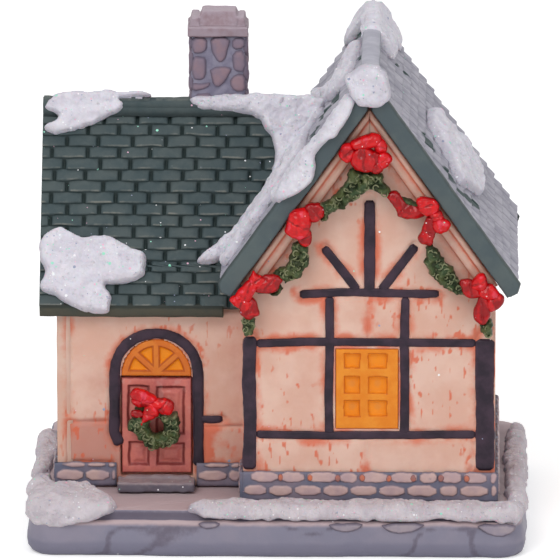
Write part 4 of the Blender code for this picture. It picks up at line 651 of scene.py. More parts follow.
def tileRows(look, length, uLow, uHigh, seed):
    # a stepped sheet of tiles: its grid (u, v, height) and its masks, v runs down the slope
    profile = np.array([0.0, 0.05, 0.2, 0.4, 0.6, 0.78, 0.9, 0.975])       # shares of one row
    rows = int(round((length - look["start"]) / look["row"]))
    pitch = (length - look["start"]) / rows
    base = [0.0] + [look["start"] + pitch * (r + p) for r in range(rows) for p in profile] + [length]
    part = [0.5] + [p for r in range(rows) for p in profile] + [1.0]
    rowOf = [-1] + [r for r in range(rows) for p in profile] + [rows - 1]
    columns = max(int((uHigh(0) - uLow(0)) / 0.14), 60)
    share = np.linspace(0, 1, columns)
    u = np.array([uLow(v) + (uHigh(v) - uLow(v)) * share for v in base])
    v = np.repeat(np.array(base)[:, None], columns, 1)
    rowIndex = np.repeat(np.array(rowOf)[:, None], columns, 1)
    t = np.repeat(np.array(part)[:, None], columns, 1)
    wave = np.where(t < 0.5, 1 - t * 2, 0) * lumps(np.stack([u, rowIndex * 7.0], -1), 2.6, seed, 2) \
        + np.where(t >= 0.5, t * 2 - 1, 0) * lumps(np.stack([u, (rowIndex + 1) * 7.0], -1), 2.6, seed, 2)
    inner = (v > look["start"] * 0.5) & (v < length - 0.1)
    v = v + wave * look["wave"] * inner
    # the joints between tiles, half a tile along from row to row
    shift = (rowIndex % 2) * 0.5 + lattice(rowIndex, rowIndex * 0, rowIndex * 0, seed) * 0.08
    tile = u / look["width"] + shift
    nearest = np.round(tile)
    offset = lattice(nearest.astype(np.int64), rowIndex, rowIndex * 0, seed + 5) * 0.07
    away = np.abs(tile - nearest - offset) * look["width"]
    slotMask = fade(look["slot"] * 1.25, look["slot"] * 0.45, away) * fade(0.02, 0.22, t) * (rowIndex >= 0)
    lift = 0.12 + 0.88 * t ** 0.8
    grid = np.stack([u, v, t * 0], -1)
    height = -look["step"] * (1 - lift) - look["slotDepth"] * slotMask
    height += 0.05 * lumps(np.stack([u, v], -1), 1.7, seed + 11, 3)
    height -= 0.1 * fade(look["slot"] * 3.0, look["slot"], away) * (rowIndex >= 0)
    height[v < look["start"]] = 0.0
    grid[..., 2] = height
    # gap is painted shade: darker in the slots between tiles and under the lip of the row above
    gap = np.clip(slotMask + fade(0.16, 0.0, t) * (rowIndex > 0) * 0.9, 0, 1)
    worn = fade(0.72, 0.93, t) * fade(look["slot"], look["slot"] * 2.2, away) \
        * (0.45 + 0.55 * lumps(np.stack([u, v], -1), 2.2, seed + 21, 2))
    return grid, gap, np.clip(worn, 0, 1)


def roofSheet(put, look, length, uLow, uHigh, seed):
    # one slope's tiles as a closed sheet: (verts, faces, masks), and its points as (u, v)
    grid, gap, worn = tileRows(look, length, uLow, uHigh, seed)
    u, v, height = np.moveaxis(grid, -1, 0)
    verts, faces = shell(put(u, v, height), put(u, v, np.full(u.shape, -tileLook["thick"])))
    return verts, faces, topOnly(gap=gap, worn=worn), grid[..., :2].reshape(-1, 2)


gableLength = gable["run"] / math.cos(gable["pitch"])
mainLength = main["run"] / math.cos(main["pitch"])


def valleyX(v):
    # where a main slope meets the gable roof's left slope
    z = main["ridge"] - v * math.sin(main["pitch"])
    line = gable["centre"] - (gable["ridge"] - z) / math.tan(gable["pitch"]) + 0.25
    return np.where(z < gable["ridge"] - gable["run"] * math.tan(gable["pitch"]) - 0.8, -4.7, line)


def barePatches(points, patches):
    # bare dark places on the pale gable slopes
    mask = np.zeros(points.shape[0])
    for u, v, reach in patches:
        gap = np.hypot((points[:, 0] - u) * 0.7, points[:, 1] - v)
        mask = np.maximum(mask, fade(reach, reach * 0.55, gap + 0.5 * lumps(points, 1.4, 3, 2)))
    return mask


def makeRoofs():
    parts = []
    start, end = -tileLook["overhang"], gable["back"] - gable["front"] + 0.35 - tileLook["overhang"]
    for side, patches in ((1, "bareRight"), (-1, "bareLeft")):
        verts, faces, masks, flat = roofSheet(downGable(side), tileLook["gable"], gableLength, lambda v: start,
                                              lambda v: end, 31 + side)
        bare = barePatches(flat, tileLook[patches])
        if side < 0:
            bare = np.maximum(bare, fade(0.1, 0.7, lumps(flat, 2.4, 8, 2)) * fade(9, 3, flat[:, 0]))
        parts.append((verts, faces, {**masks, **topOnly(bare=bare)}))
    verts, faces, masks = mergeMasked(parts, (False, True))
    makePiece("gable_roof_tiles", verts, faces, "gableTiles", ("gable_roof",), slotName="grey_slate", masks=masks,
              mend=False)
    parts = [roofSheet(downMain(side), tileLook["main"], mainLength, lambda v: main["left"], valleyX, 51 + side)[:3]
             for side in (-1, 1)]
    verts, faces, masks = mergeMasked(parts, (False, True))
    makePiece("main_roof_tiles", verts, faces, "mainTiles", ("main_roof",), slotName="slate", masks=masks, mend=False)


eaveEdge = {"right": -7.6, "z": 33.66,
            "section": ((0.15, 0.05), (-0.12, -0.25), (-0.02, -0.8), (0.1, -1.35), (0.32, -1.75), (0.8, -1.9),
                        (2.6, -1.9), (2.6, -1.0), (1.4, 0.2))}


def makeEaves():
    # the rounded edge under the last row of tiles, front and back, and the soffit behind it
    xs = np.arange(main["left"] + 0.05, eaveEdge["right"], 0.25)
    inward, up = np.array(eaveEdge["section"]).T
    parts = []
    for side in (-1, 1):
        rings = []
        for x in xs:
            wave = 0.09 * lumps(np.array([[x, side * 3.0]]), 2.5, 7, 2)[0]
            out = main["run"] - inward + wave * (inward < 0.5)
            rings.append(np.stack([np.full(len(up), x), main["centre"] + side * out,
                                   eaveEdge["z"] + up + wave * 0.8 * (up < -0.5)], 1))
        verts, faces = ringSkin(rings)
        # rim marks the top of the edge, just under the tiles: a painted shadow of the last row of tiles
        rim = np.tile((up > -0.3).astype(float), len(xs))
        parts.append((verts, faces if side < 0 else [f[::-1] for f in faces], rim))
    makeJoined("eave_edges", parts, "eavePaint", slotName="slate")


makeRoofs()
makeEaves()
print("roofs tiled")


# ridge caps and boards

boardLook = {"plane": -21.75, "thick": 1.4, "wide": 2.9, "pastTiles": 0.35, "halfGap": 0.15, "backLower": 1.3,
             "frontAndBack": 2.0}


def board(side, drop=0.0):
    # a board cut by hand, rounded a little at its face, which looks to the front
    return softLump(0.45, boardOutline(side, drop), onWall("front", boardLook["plane"]), boardLook["thick"], edge=0.32,
                    spacing=0.24, lump=0.05, lumpSize=2.5, seed=60 + side, depth=0.0, wobble=0.05, wobbleSize=2.2,
                    rounds=0)


def chevronEdge(side, depth, z):
    # where the gable roof's plane, this deep below its outer face, has this height
    return gable["centre"] + side * ((gable["ridge"] - depth / math.cos(gable["pitch"]) - z) / math.tan(gable["pitch"]))


def boardOutline(side, drop):
    # its upper edge lies this far under the tiles' outer face
    cos, sin = math.cos(gable["pitch"]), math.sin(gable["pitch"])
    run, wide = gable["run"] + boardLook["pastTiles"], boardLook["wide"]
    outerFoot = (gable["centre"] + side * run, gable["ridge"] - run * math.tan(gable["pitch"]) - drop)
    innerFoot = (outerFoot[0] - side * (wide * sin - 0.4), outerFoot[1] - wide * cos - 0.4)
    tip = (outerFoot[0] - side * 0.4, outerFoot[1] - 1.4)
    top = (gable["centre"] + side * boardLook["halfGap"], gable["ridge"] - 0.15 - drop)
    topInner = (top[0], gable["ridge"] - wide / cos - 0.1)
    return [top, outerFoot, tip, innerFoot, topInner]


def makeBoards():
    for side, word in ((-1, "left"), (1, "right")):
        verts, faces, mask = board(side)
        makePiece("front_board_" + word, verts, faces, "boardPaint", ("bargeboard_front_" + word,), slotName="board",
                  masks={"rim": mask})
        verts, faces, mask = board(side, boardLook["backLower"])
        verts[:, 1] = boardLook["frontAndBack"] - verts[:, 1]
        makePiece("back_board_" + word, verts, [f[::-1] for f in faces], "boardPaint", ("bargeboard_back_" + word,),
                  slotName="board", masks={"rim": mask})


ridgeStrip = {"front": -21.7, "back": 23.2,
              "section": ((-1.3, -1.55), (-1.32, -0.25), (-1.1, 0.12), (-0.5, 0.3), (0.0, 0.34), (0.5, 0.3),
                          (1.1, 0.12), (1.32, -0.25), (1.3, -1.55), (0.0, -0.5))}
ridgeRoll = {"right": 4.0, "section": ((-1.5, -2.5), (-1.05, -1.15), (-0.55, -0.25), (0.0, 0.1), (0.55, -0.25),
                                       (1.05, -1.15), (1.5, -2.5), (0.0, -1.0))}


def ridgeWaves(section, places, amount, size, seed):
    # at each place along a ridge: the place for each point of the section, and how unsteady the point is
    for place in places:
        at = np.full(len(section), place)
        yield at, amount * lumps(np.column_stack([at, section]), size, seed, 2)


def makeRidgeCaps():
    # a flat grey strip along the gable's ridge, and a roll of the tiles' colour along the main one
    ys = np.arange(ridgeStrip["front"], ridgeStrip["back"], 0.3)
    section = np.array(ridgeStrip["section"])
    verts, faces = ringSkin([np.stack([gable["centre"] + section[:, 0] + wave * 0.6, y,
                                       gable["ridge"] + section[:, 1] + wave], 1)
                             for y, wave in ridgeWaves(section, ys, 0.1, 1.8, 5)])
    rim = np.tile((np.abs(section[:, 0]) > 1.2).astype(float), len(ys))
    makePiece("gable_ridge_strip", verts, faces, "ridgePaint", ("gable_ridge_cap",), slotName="grey_slate",
              masks={"rim": rim})
    xs = np.arange(main["left"] + 0.1, ridgeRoll["right"], 0.25)
    section = np.array(ridgeRoll["section"])
    verts, faces = ringSkin([np.stack([x, main["centre"] + section[:, 0], main["ridge"] + section[:, 1] + wave], 1)
                             for x, wave in ridgeWaves(section, xs, 0.12, 1.5, 6)])
    worn = np.tile((section[:, 0] ** 2 < 0.5) * 0.5, len(xs))
    makePiece("main_ridge_roll", verts, faces, "mainTiles", slotName="slate",
              masks={"gap": np.zeros(len(verts)), "worn": worn})


moulding = {                     # across the band, from its outer edge: how deep, how far out, how red
    "depths": (2.95, 3.0, 3.3, 3.65, 3.8, 3.9, 4.0, 4.2, 4.6, 5.0, 5.2, 5.3),
    "fronts": (0.0, 0.85, 1.0, 0.98, 0.75, 0.42, 0.36, 0.5, 0.62, 0.58, 0.4, 0.0),
    "stains": (0.9, 0.6, 0.25, 0.2, 0.7, 1.0, 0.9, 0.4, 0.25, 0.4, 0.9, 1.0, 0, 0),
    "footZ": 38.4, "front": -21.62, "back": -20.6}


def makeMoulding():
    # the peach band inside the boards, two soft steps that follow the slope
    look, fronts = moulding, np.array(moulding["fronts"])
    parts = []
    for side in (-1, 1):
        rings = []
        for z in np.linspace(look["footZ"], gable["ridge"], 150):
            xs = np.array([chevronEdge(side, depth, z) for depth in look["depths"]])
            xs = gable["centre"] + side * np.maximum((xs - gable["centre"]) * side, 0.02)
            wave = 0.06 * lumps(np.stack([xs, np.full(len(xs), z)], -1), 2.0, 12, 2)
            front = look["back"] - (look["back"] - look["front"]) * fronts - wave * (fronts > 0)
            rings.append(np.vstack([np.stack([xs, front, np.full(len(xs), z)], 1),
                                    [(xs[-1], look["back"], z), (xs[0], look["back"], z)]]))
        parts.append((*ringSkin(rings), np.tile(look["stains"], len(rings))))
    verts, faces, mask = joinParts(parts)
    makePiece("gable_moulding_band", verts, faces, "wallPaint", ("gable_moulding",), slotName="plaster",
              masks={"rim": mask, "shade": mask * 0})


makeBoards()
makeRidgeCaps()
makeMoulding()
print("boards, ridges and moulding made")


# painted timbers and the walls between them

timbers = (                      # each stroke: the CAD node, its points along X and Z, its width
    ("corner_post_left", ((-3.85, 30.6), (-3.95, 25.0), (-3.8, 19.0), (-3.9, 11.2)), 1.95),
    ("corner_post_right", ((29.35, 30.4), (29.3, 24.0), (29.45, 17.0), (29.4, 11.2)), 2.8),
    ("timber_lattice", ((-2.9, 16.35), (6.0, 16.2), (16.0, 16.35), (28.0, 16.5)), 1.25),
    ("timber_lattice", ((-2.9, 29.6), (5.0, 29.9), (16.0, 29.85), (28.0, 29.8)), 1.25),
    ("timber_lattice", ((7.4, 16.4), (7.3, 22.0), (7.45, 29.8), (7.4, 36.4)), 1.3),
    ("timber_lattice", ((18.0, 16.4), (18.05, 23.0), (17.95, 30.0), (18.1, 36.4)), 1.35),
    ("gable_truss", ((3.2, 36.8), (9.0, 37.1), (16.0, 37.0), (22.8, 36.9)), 1.25),
    ("gable_truss", ((13.0, 37.2), (13.05, 43.0), (13.0, 50.4)), 1.65),
    ("gable_truss", ((11.3, 37.4), (9.4, 40.0), (6.6, 43.6)), 1.35),
    ("gable_truss", ((14.7, 37.4), (16.6, 40.0), (19.5, 43.9)), 1.35),
)
arch = {"x": -17.3, "half": 5.95, "foot": 22.9, "rise": 6.1}


def archPath():
    left, right = arch["x"] - arch["half"], arch["x"] + arch["half"]
    points = [(left + 0.75, 12.6), (left - 0.1, 14.4), (left, 18.0)]
    for turn in [math.pi - math.pi * step / 12 for step in range(13)]:
        points.append((arch["x"] + arch["half"] * math.cos(turn), arch["foot"] + arch["rise"] * math.sin(turn) ** 0.9))
    return points + [(right, 17.0), (right + 0.05, 9.6)]


doorTimbers = (("door_arch", archPath(), 1.6), ("wing_rail", ((-11.1, 16.45), (-9.5, 16.35), (-7.9, 16.5)), 1.1),
               ("door_arch", ((-11.3, 9.15), (-10.0, 8.95), (-8.8, 8.95)), 0.95))


def stroke(path, width, face, seed, rise):
    # one painted timber: a band along a path that swells and thins as a brush would leave it
    spine, where = evenPoints(np.asarray(path, float), 0.22, 12)
    for soften in range(3):
        spine[1:-1] = spine[1:-1] * 0.5 + (spine[:-2] + spine[2:]) * 0.25
    way = np.gradient(spine, axis=0)
    way /= np.hypot(way[:, 0], way[:, 1])[:, None]
    side = np.stack([-way[:, 1], way[:, 0]], 1)
    lines = np.array([-0.5, -0.485, -0.42, -0.25, 0.0, 0.25, 0.42, 0.485, 0.5])
    swell = np.array([-0.6, 0.25, 0.75, 0.96, 1.0, 0.96, 0.75, 0.25, -0.6])
    rings = []
    for index, spot in enumerate(spine):
        fromEnd = min(where[index], where[-1] - where[index])
        wide = width * (1 + 0.09 * lumps(spot[None], 1.6, seed, 2)[0])
        wide *= 0.62 + 0.38 * float(fade(0, 0.45, fromEnd))
        middle = spot + side[index] * (0.05 * lumps(spot[None], 2.4, seed + 5, 2)[0])
        points = middle + side[index] * (lines * wide)[:, None]
        height = rise * swell * (0.3 + 0.7 * float(fade(0, 0.3, fromEnd)))
        height = height + 0.03 * lumps(points, 0.9, seed + 7, 2)
        rings.append(np.stack([points[:, 0], face - height, points[:, 1]], 1))
    return *ringSkin(rings), np.tile(fade(0.36, 0.48, np.abs(lines)), len(spine)) * 0.9


def makeTimbers():
    byNode = {}
    for strokes, face, rise, seed in ((timbers, -20.02, 0.4, 100), (doorTimbers, -12.25, 0.42, 120)):
        for index, (node, path, width) in enumerate(strokes):
            byNode.setdefault(node, []).append(stroke(path, width, face, seed + index, rise))
    for node, parts in byNode.items():
        makeJoined("painted_" + node, parts, "beamPaint", (node,), "timber", "worn")


wallLook = {"pillow": 0.75, "groove": 0.42, "wave": 0.06}


def wallFace(points, strokes):
    # how far a wall face stands out between its timbers, and how red it is near them
    best = np.full(len(points), 1e9)
    for node, path, width in strokes:
        best = np.minimum(best, pathDistance(points, path) - width / 2)
    share = np.clip((best + 0.05) / wallLook["pillow"], 0, 1)
    height = -wallLook["groove"] + wallLook["groove"] * np.sqrt(1 - (1 - share) ** 2)
    height += wallLook["wave"] * lumps(points, 3.4, 71, 2)
    stain = fade(1.9, -0.1, best) * (0.62 + 0.6 * lumps(points, 2.6, 72, 2))
    streaks = fade(0.45, 0.95, lumps(points * (2.0, 0.8), 1.0, 73, 2)) * fade(-0.3, 0.35, lumps(points, 7.0, 74, 1))
    return height, np.clip(stain + 0.75 * streaks, 0, 1)


def wallSheet(alongLow, alongHigh, zLow, zHigh, put, faceOf, limits=None, step=0.2, thick=2.2):
    # a wall as a closed sheet; limits gives its two ends at each height where they slant
    rows, columns = int((zHigh - zLow) / step) + 1, int((alongHigh - alongLow) / step) + 1
    zs = np.linspace(zLow, zHigh, rows)
    share = np.linspace(0, 1, columns)
    along = np.empty((rows, columns))
    for index, z in enumerate(zs):
        low, high = limits(z) if limits else (alongLow, alongHigh)
        low, high = max(low, alongLow), min(high, alongHigh)
        if high < low:
            low = high = (low + high) / 2
        along[index] = low + (high - low) * share
    z = np.repeat(zs[:, None], columns, 1)
    height, stain, shade = faceOf(np.stack([along.ravel(), z.ravel()], 1))
    verts, faces = shell(put(along, z, height.reshape(rows, columns)), put(along, z, np.full((rows, columns), -thick)))
    return verts, faces, topOnly(rim=stain, shade=shade)


def inRectangle(points, left, right, low, high, soft=0.15):
    return (fade(left - soft, left, points[:, 0]) * fade(right + soft, right, points[:, 0])
            * fade(low - soft, low, points[:, 1]) * fade(high + soft, high, points[:, 1]))


panelLines = (                   # fine grooves in the gable face, where the paint has gathered
    ("", ((12.8, 30.8), (12.9, 36.2)), 0.1), ("", ((12.7, 11.4), (12.75, 15.5)), 0.1),
    ("", ((27.3, 15.6), (27.75, 15.0), (27.7, 12.0), (27.3, 11.3)), 0.15),
    ("", ((-2.6, 11.0), (27.5, 11.0)), 0.2))
doorPanelLines = (
    ("", ((-29.8, 33.0), (-29.8, 17.4)), 0.1), ("", ((-29.8, 16.0), (-24.0, 16.1)), 0.12),
    ("", ((-29.8, 16.0), (-29.75, 10.2)), 0.12), ("", ((-29.8, 10.2), (-23.6, 10.1)), 0.12),
    ("", ((-11.0, 15.4), (-5.0, 15.45)), 0.14), ("", ((-11.0, 9.6), (-5.0, 9.6)), 0.1),
    ("", ((-31.2, 32.6), (-5.0, 32.6)), 0.3))


openingDepth = -1.9               # how deep the walls are let in behind a window or the door


def gableFace(points):
    height, stain = wallFace(points, timbers + panelLines[:3])
    line = wallFace(points, panelLines[3:])[1]
    height = np.where(inRectangle(points, 8.4, 17.0, 17.3, 28.9) > 0.5, openingDepth, height)
    low = fade(14.0, 9.0, points[:, 1]) * 0.3
    shade = np.clip(0.25 + 0.5 * lumps(points, 9.0, 41, 2), 0, 1) * 0.5 + low
    roofLine = np.abs(points[:, 0] - gable["centre"]) * math.tan(gable["pitch"])
    under = fade(gable["ridge"] - 13.0, gable["ridge"] - 9.5, roofLine + points[:, 1])
    return height, np.clip(stain + 0.3 * line + 0.5 * under, 0, 1), np.clip(shade, 0, 1)


def doorFace(points):
    x, z = points[:, 0], points[:, 1]
    height, stain = wallFace(points, doorTimbers + doorPanelLines)
    opening = inRectangle(points, -22.3, -12.3, 8.0, 22.6) > 0.5
    opening |= np.hypot((x + 17.3) / 5.0, (z - 22.6) / 5.5) < 1.0
    height = np.where(opening, openingDepth, height)
    lowLeft = inRectangle(points, -29.8, -22.0, 8.0, 16.0, 1.0)
    lowRight = inRectangle(points, -11.0, -4.8, 8.0, 15.4, 1.0)
    shade = (0.16 + 0.7 * lowLeft + 0.12 * lowRight + fade(-9.0, -5.6, x) * 0.4
             + 0.2 * np.clip(lumps(points, 6.0, 43, 2), 0, 1)
             + 0.35 * fade(-31.0, -24.0, x) * fade(-20.0, -26.0, x) * fade(28, 20, z))
    return height, np.clip(stain + 0.35 * lowRight * (0.6 + lumps(points, 1.6, 44, 2)), 0, 1), np.clip(shade, 0, 1)


def plainFace(lines, window=None):
    # a side or back wall: panels between moulded grooves, round its window if it has one
    def faceOf(points):
        height, stain = wallFace(points, [("", line, 0.25) for line in lines])
        if window:
            height = np.where(inRectangle(points, *window) > 0.5, openingDepth, height)
            stain = np.maximum(stain, fade(1.0, 0.0, edgeDistance(points, rectangle(*window))))
        shade = np.clip(0.3 + 0.5 * lumps(points, 7.0, 45, 2), 0, 1) * 0.6 + fade(14.0, 8.0, points[:, 1]) * 0.4
        return height, stain, np.clip(shade, 0, 1)
    return faceOf


def underRoof(roof, drop):
    # how far a gable wall reaches to both sides at each height
    def limits(z):
        half = max((roof["ridge"] - drop - z) / math.tan(roof["pitch"]), 0.0)
        return roof["centre"] - half, roof["centre"] + half
    return limits


underGable, underMain = underRoof(gable, 2.9), underRoof(main, 3.2)
wallFoot = 6.8
backFace = plainFace((((-4.8, 30.0), (30.8, 30.0)), ((3.0, 30.0), (3.0, 11.0)), ((23.0, 30.0), (23.0, 11.0)),
                      ((13.0, 30.0), (13.0, 62.0)), ((-1.0, 38.0), (27.0, 38.0))), (9.1, 16.9, 15.0, 25.0))
wingBackFace = plainFace((((-24.0, 32.0), (-24.0, 10.5)), ((-13.0, 32.0), (-13.0, 10.5)),
                          ((-31.0, 20.0), (-5.0, 20.0))))
leftFace = plainFace((((-12.6, 30.0), (16.4, 30.0)), ((-5.0, 29.6), (-5.0, 10.5)), ((9.0, 29.6), (9.0, 10.5)),
                      ((1.9, 30.0), (1.9, 50.0))), (-1.95, 5.75, 15.0, 25.0))
rightFace = plainFace((((-20.0, 30.0), (22.0, 30.0)), ((-9.0, 29.6), (-9.0, 10.5)), ((12.0, 29.6), (12.0, 10.5))),
                      (-2.85, 4.85, 15.0, 25.0))
walls = (                        # the way each looks, its plane, its run, its top, its face, its slant, its mesh step
    ("front", -20.5, -4.8, 30.8, 66.0, gableFace, underGable, 0.2),
    ("front", -12.7, -31.4, -3.0, 33.4, doorFace, None, 0.2),
    ("back", 22.5, -4.8, 30.8, 66.0, backFace, underGable, 0.25),
    ("back", 16.5, -31.4, -3.0, 33.4, wingBackFace, None, 0.25),
    ("left", -31.4, -12.6, 16.4, 54.0, leftFace, underMain, 0.25),
    ("right", 30.8, -19.7, 22.4, 39.6, rightFace, None, 0.25),
    ("left", -4.8, -19.7, -10.2, 42.0, plainFace(()), None, 0.3),
    ("left", -4.8, 14.2, 22.4, 42.0, plainFace(()), None, 0.3),
)


def makeWalls():
    verts, faces, masks = mergeMasked([wallSheet(start, end, wallFoot, top, onWall(way, plane), face, slant, step)
                                       for way, plane, start, end, top, face, slant, step in walls])
    makePiece("cottage_walls", verts, faces, "wallPaint", ("house_walls",), slotName="plaster", masks=masks)


makeTimbers()
makeWalls()
print("walls and timbers made")


# windows, fanlight and door

casement = {"width": 8.8, "height": 11.6, "recess": 0.62, "columns": ((1.1, 3.5), (4.55, 7.3)),
            "rows": ((1.75, 4.2), (5.05, 7.65), (8.75, 11.0))}


def casementSheet(put, wide, tall, seed):
    # the window's frame, bars and panes, stretched to this width and height
    columns, rows = 76, 96
    u, v, flat, rim = flatGrid(0, casement["width"], 0, casement["height"], columns, rows)
    wobbled = unsteady(flat, 0.09, 1.5, seed, seed + 3)
    pane, border, dusty = np.zeros(len(flat)), np.full(len(flat), 1e9), np.zeros(len(flat))
    for r, (low, high) in enumerate(casement["rows"]):
        for left, right in casement["columns"]:
            outline = rectangle(left, right, low, high)
            inside = insideOutline(wobbled, outline)
            away = edgeDistance(wobbled, outline)
            pane = np.maximum(pane, np.where(inside, fade(0.0, 0.32, away), 0))
            border = np.minimum(border, np.where(inside, away, away + 0.25))
            if r < 2:
                middle = np.array([(left + right) / 2, (low + high) / 2 + 0.1])
                dusty = np.maximum(dusty, fade(1.0, 0.2, np.hypot(*(flat - middle).T)))
    height = (-casement["recess"] * pane + 0.12 * np.sqrt(np.clip(rim / 0.5, 0, 1))
              + 0.04 * lumps(flat, 1.2, seed + 8, 2))
    u, v = u / casement["width"] * wide, v / casement["height"] * tall
    verts, faces = shell(put(u, v, height.reshape(rows, columns)), put(u, v, np.full((rows, columns), -1.6)))
    gap = np.clip(fade(0.32, 0.0, border) + fade(0.25, 0.0, rim) * 0.7, 0, 1)
    return verts, faces, topOnly(gap=gap, pane=pane * 0.8, dusty=dusty * pane * 0.8)


def makeWindows():
    spots = (("front_window", onWall("front", -20.32, 8.3, 1, 17.3), 8.8, 11.6),
             ("back_window", onWall("back", 22.32, 17.0, -1, 15.0), 8.0, 10.0),
             ("left_window", onWall("left", -31.22, 5.9, -1, 15.0), 8.0, 10.0),
             ("right_window", onWall("right", 30.62, -3.0, 1, 15.0), 8.0, 10.0))
    for index, (node, put, wide, tall) in enumerate(spots):
        verts, faces, masks = casementSheet(put, wide, tall, 200 + index)
        makePiece("amber_" + node, verts, faces, "amberFrame", (node,), slotName="amber", masks=masks)


fan = {"x": -17.3, "foot": 22.72, "half": 4.95, "rise": 5.35, "rim": 0.95, "bar": 0.42, "baseBar": 0.75}


def makeFanlight():
    # a half-round pane with three spokes, its frame left standing
    outline = [(fan["x"] + fan["half"] * math.cos(t), fan["foot"] + fan["rise"] * math.sin(t))
               for t in np.linspace(0, math.pi, 40)]

    def panes(points):
        dx, dz = points[:, 0] - fan["x"], points[:, 1] - fan["foot"]
        reach = np.hypot(dx / (fan["half"] - fan["rim"]), dz / (fan["rise"] - fan["rim"]))
        spoke = np.full(len(points), 1e9)
        for angle in (42, 91, 137):
            way = np.array([math.cos(math.radians(angle)), math.sin(math.radians(angle))])
            spoke = np.minimum(spoke, np.abs(dx * way[1] - (dz - 0.5) * way[0]))
        return np.minimum.reduce([(1 - reach) * 4.0, spoke - fan["bar"], dz - fan["baseBar"]])
    verts, faces, away = cushion(outline, onWall("front", -12.18), 0.18, edge=0.25, spacing=0.12, rounds=0, depth=1.5,
                                 seed=8, extra=lambda p: -0.42 * fade(0.0, 0.3, panes(p)))
    flat = np.stack([verts[:, 0], verts[:, 2]], 1)
    inside = panes(flat)
    makePiece("amber_fanlight", verts, faces, "fanPaint", ("fanlight",), slotName="amber",
              masks={"pane": fade(0.0, 0.25, inside), "gap": fade(0.25, 0.0, np.abs(inside)) * (away > 0)})


doorLook = {"box": (-22.25, -12.35, 8.5, 22.4), "face": -12.2, "back": -10.6,
            "panels": ((-21.4, -18.35, 15.2, 21.3), (-17.35, -13.35, 14.2, 21.2), (-21.3, -18.3, 9.6, 13.0),
                       (-17.3, -13.4, 9.7, 12.9))}


def makeDoor():
    columns, rows = 84, 118
    x, z, flat, rim = flatGrid(*doorLook["box"], columns, rows)
    wobbled = unsteady(flat, 0.1, 1.7, 31, 34)
    height = 0.05 * lumps(flat, 1.3, 35, 3)
    gap = np.zeros(len(flat))
    for panel in doorLook["panels"]:
        outline = rectangle(*panel)
        away = np.where(insideOutline(wobbled, outline), 1, -1) * edgeDistance(wobbled, outline)
        height -= 0.38 * fade(-0.05, 0.2, away) - 0.26 * fade(0.45, 1.1, away)
        gap = np.maximum(gap, fade(0.42, 0.05, np.abs(away - 0.12)))
    height += 0.1 * np.sqrt(np.clip(rim / 0.5, 0, 1))
    gap = np.maximum(gap, fade(0.3, 0.0, rim))
    worn = np.clip(lumps(flat, 1.1, 36, 3), 0, 1) * fade(12.0, 20.0, flat[:, 1])
    verts, faces = shell(np.stack([x, doorLook["face"] - height.reshape(rows, columns), z], -1),
                         np.stack([x, np.full((rows, columns), doorLook["back"]), z], -1))
    makePiece("panelled_door", verts, faces, "doorPaint", ("door",), slotName="door_paint",
              masks=topOnly(gap=gap, worn=worn))


makeWindows()
makeFanlight()
makeDoor()
print("windows and door made")


# chimney

def block(low, high, inTop=(0.0, 0.0)):
    # a box whose top may be drawn in
    x0, y0, z0 = low
    x1, y1, z1 = high
    ax, ay = inTop
    verts = np.array([(x0, y0, z0), (x1, y0, z0), (x1, y1, z0), (x0, y1, z0), (x0 + ax, y0 + ay, z1),
                      (x1 - ax, y0 + ay, z1), (x1 - ax, y1 - ay, z1), (x0 + ax, y1 - ay, z1)])
    faces = [(0, 3, 2, 1), (4, 5, 6, 7), (0, 1, 5, 4), (1, 2, 6, 5), (2, 3, 7, 6), (3, 0, 4, 7)]
    return verts, faces, np.zeros(8)


chimney = {
    "left": -12.7, "right": -4.95, "front": 1.6, "back": 7.4, "low": 45.0, "top": 69.0,
    "stones": (
        ((-12.6, 68.9), (-10.4, 68.9), (-10.45, 67.0), (-11.4, 66.5), (-12.6, 66.6)),
        ((-9.95, 69.0), (-7.1, 69.0), (-7.45, 66.9), (-7.85, 65.65), (-8.5, 65.2), (-9.15, 65.7), (-9.85, 67.0)),
        ((-6.75, 68.9), (-5.0, 68.9), (-5.0, 67.35), (-6.85, 67.1)),
        ((-6.9, 66.85), (-4.95, 67.05), (-4.95, 63.9), (-6.45, 63.95), (-6.8, 64.9)),
        ((-12.6, 66.15), (-10.8, 66.1), (-10.55, 65.5), (-10.6, 63.1), (-11.4, 62.6), (-12.6, 62.8)),
        ((-10.1, 64.6), (-7.0, 64.75), (-6.95, 63.8), (-8.4, 61.8), (-9.3, 61.7), (-9.8, 62.8)),
        ((-6.35, 63.6), (-4.95, 63.4), (-4.95, 61.0), (-6.7, 61.0), (-7.3, 62.4)),
        ((-12.5, 62.4), (-11.3, 62.2), (-9.8, 62.4), (-10.4, 61.4), (-12.5, 61.0)),
        ((-12.5, 60.6), (-9.6, 60.9), (-9.3, 58.4), (-12.5, 58.2)),
        ((-8.9, 60.8), (-4.95, 60.6), (-4.95, 58.0), (-8.8, 58.3)),
        ((-12.5, 57.8), (-8.2, 57.9), (-8.4, 55.2), (-12.5, 55.0)),
        ((-7.7, 57.7), (-4.95, 57.6), (-4.95, 54.6), (-7.9, 55.0)),
    ),
    "cap": (
        (-13.2, -4.6, 3.5, 69.05, 70.45, (0.0, 0.0)),
        (-13.05, -11.3, 3.3, 70.0, 71.75, (0.4, 0.5)),
        (-6.3, -4.75, 3.3, 70.0, 71.7, (0.4, 0.5)),
        (-12.0, -5.6, 2.9, 70.0, 72.55, (0.8, 1.2)),
    ),
}


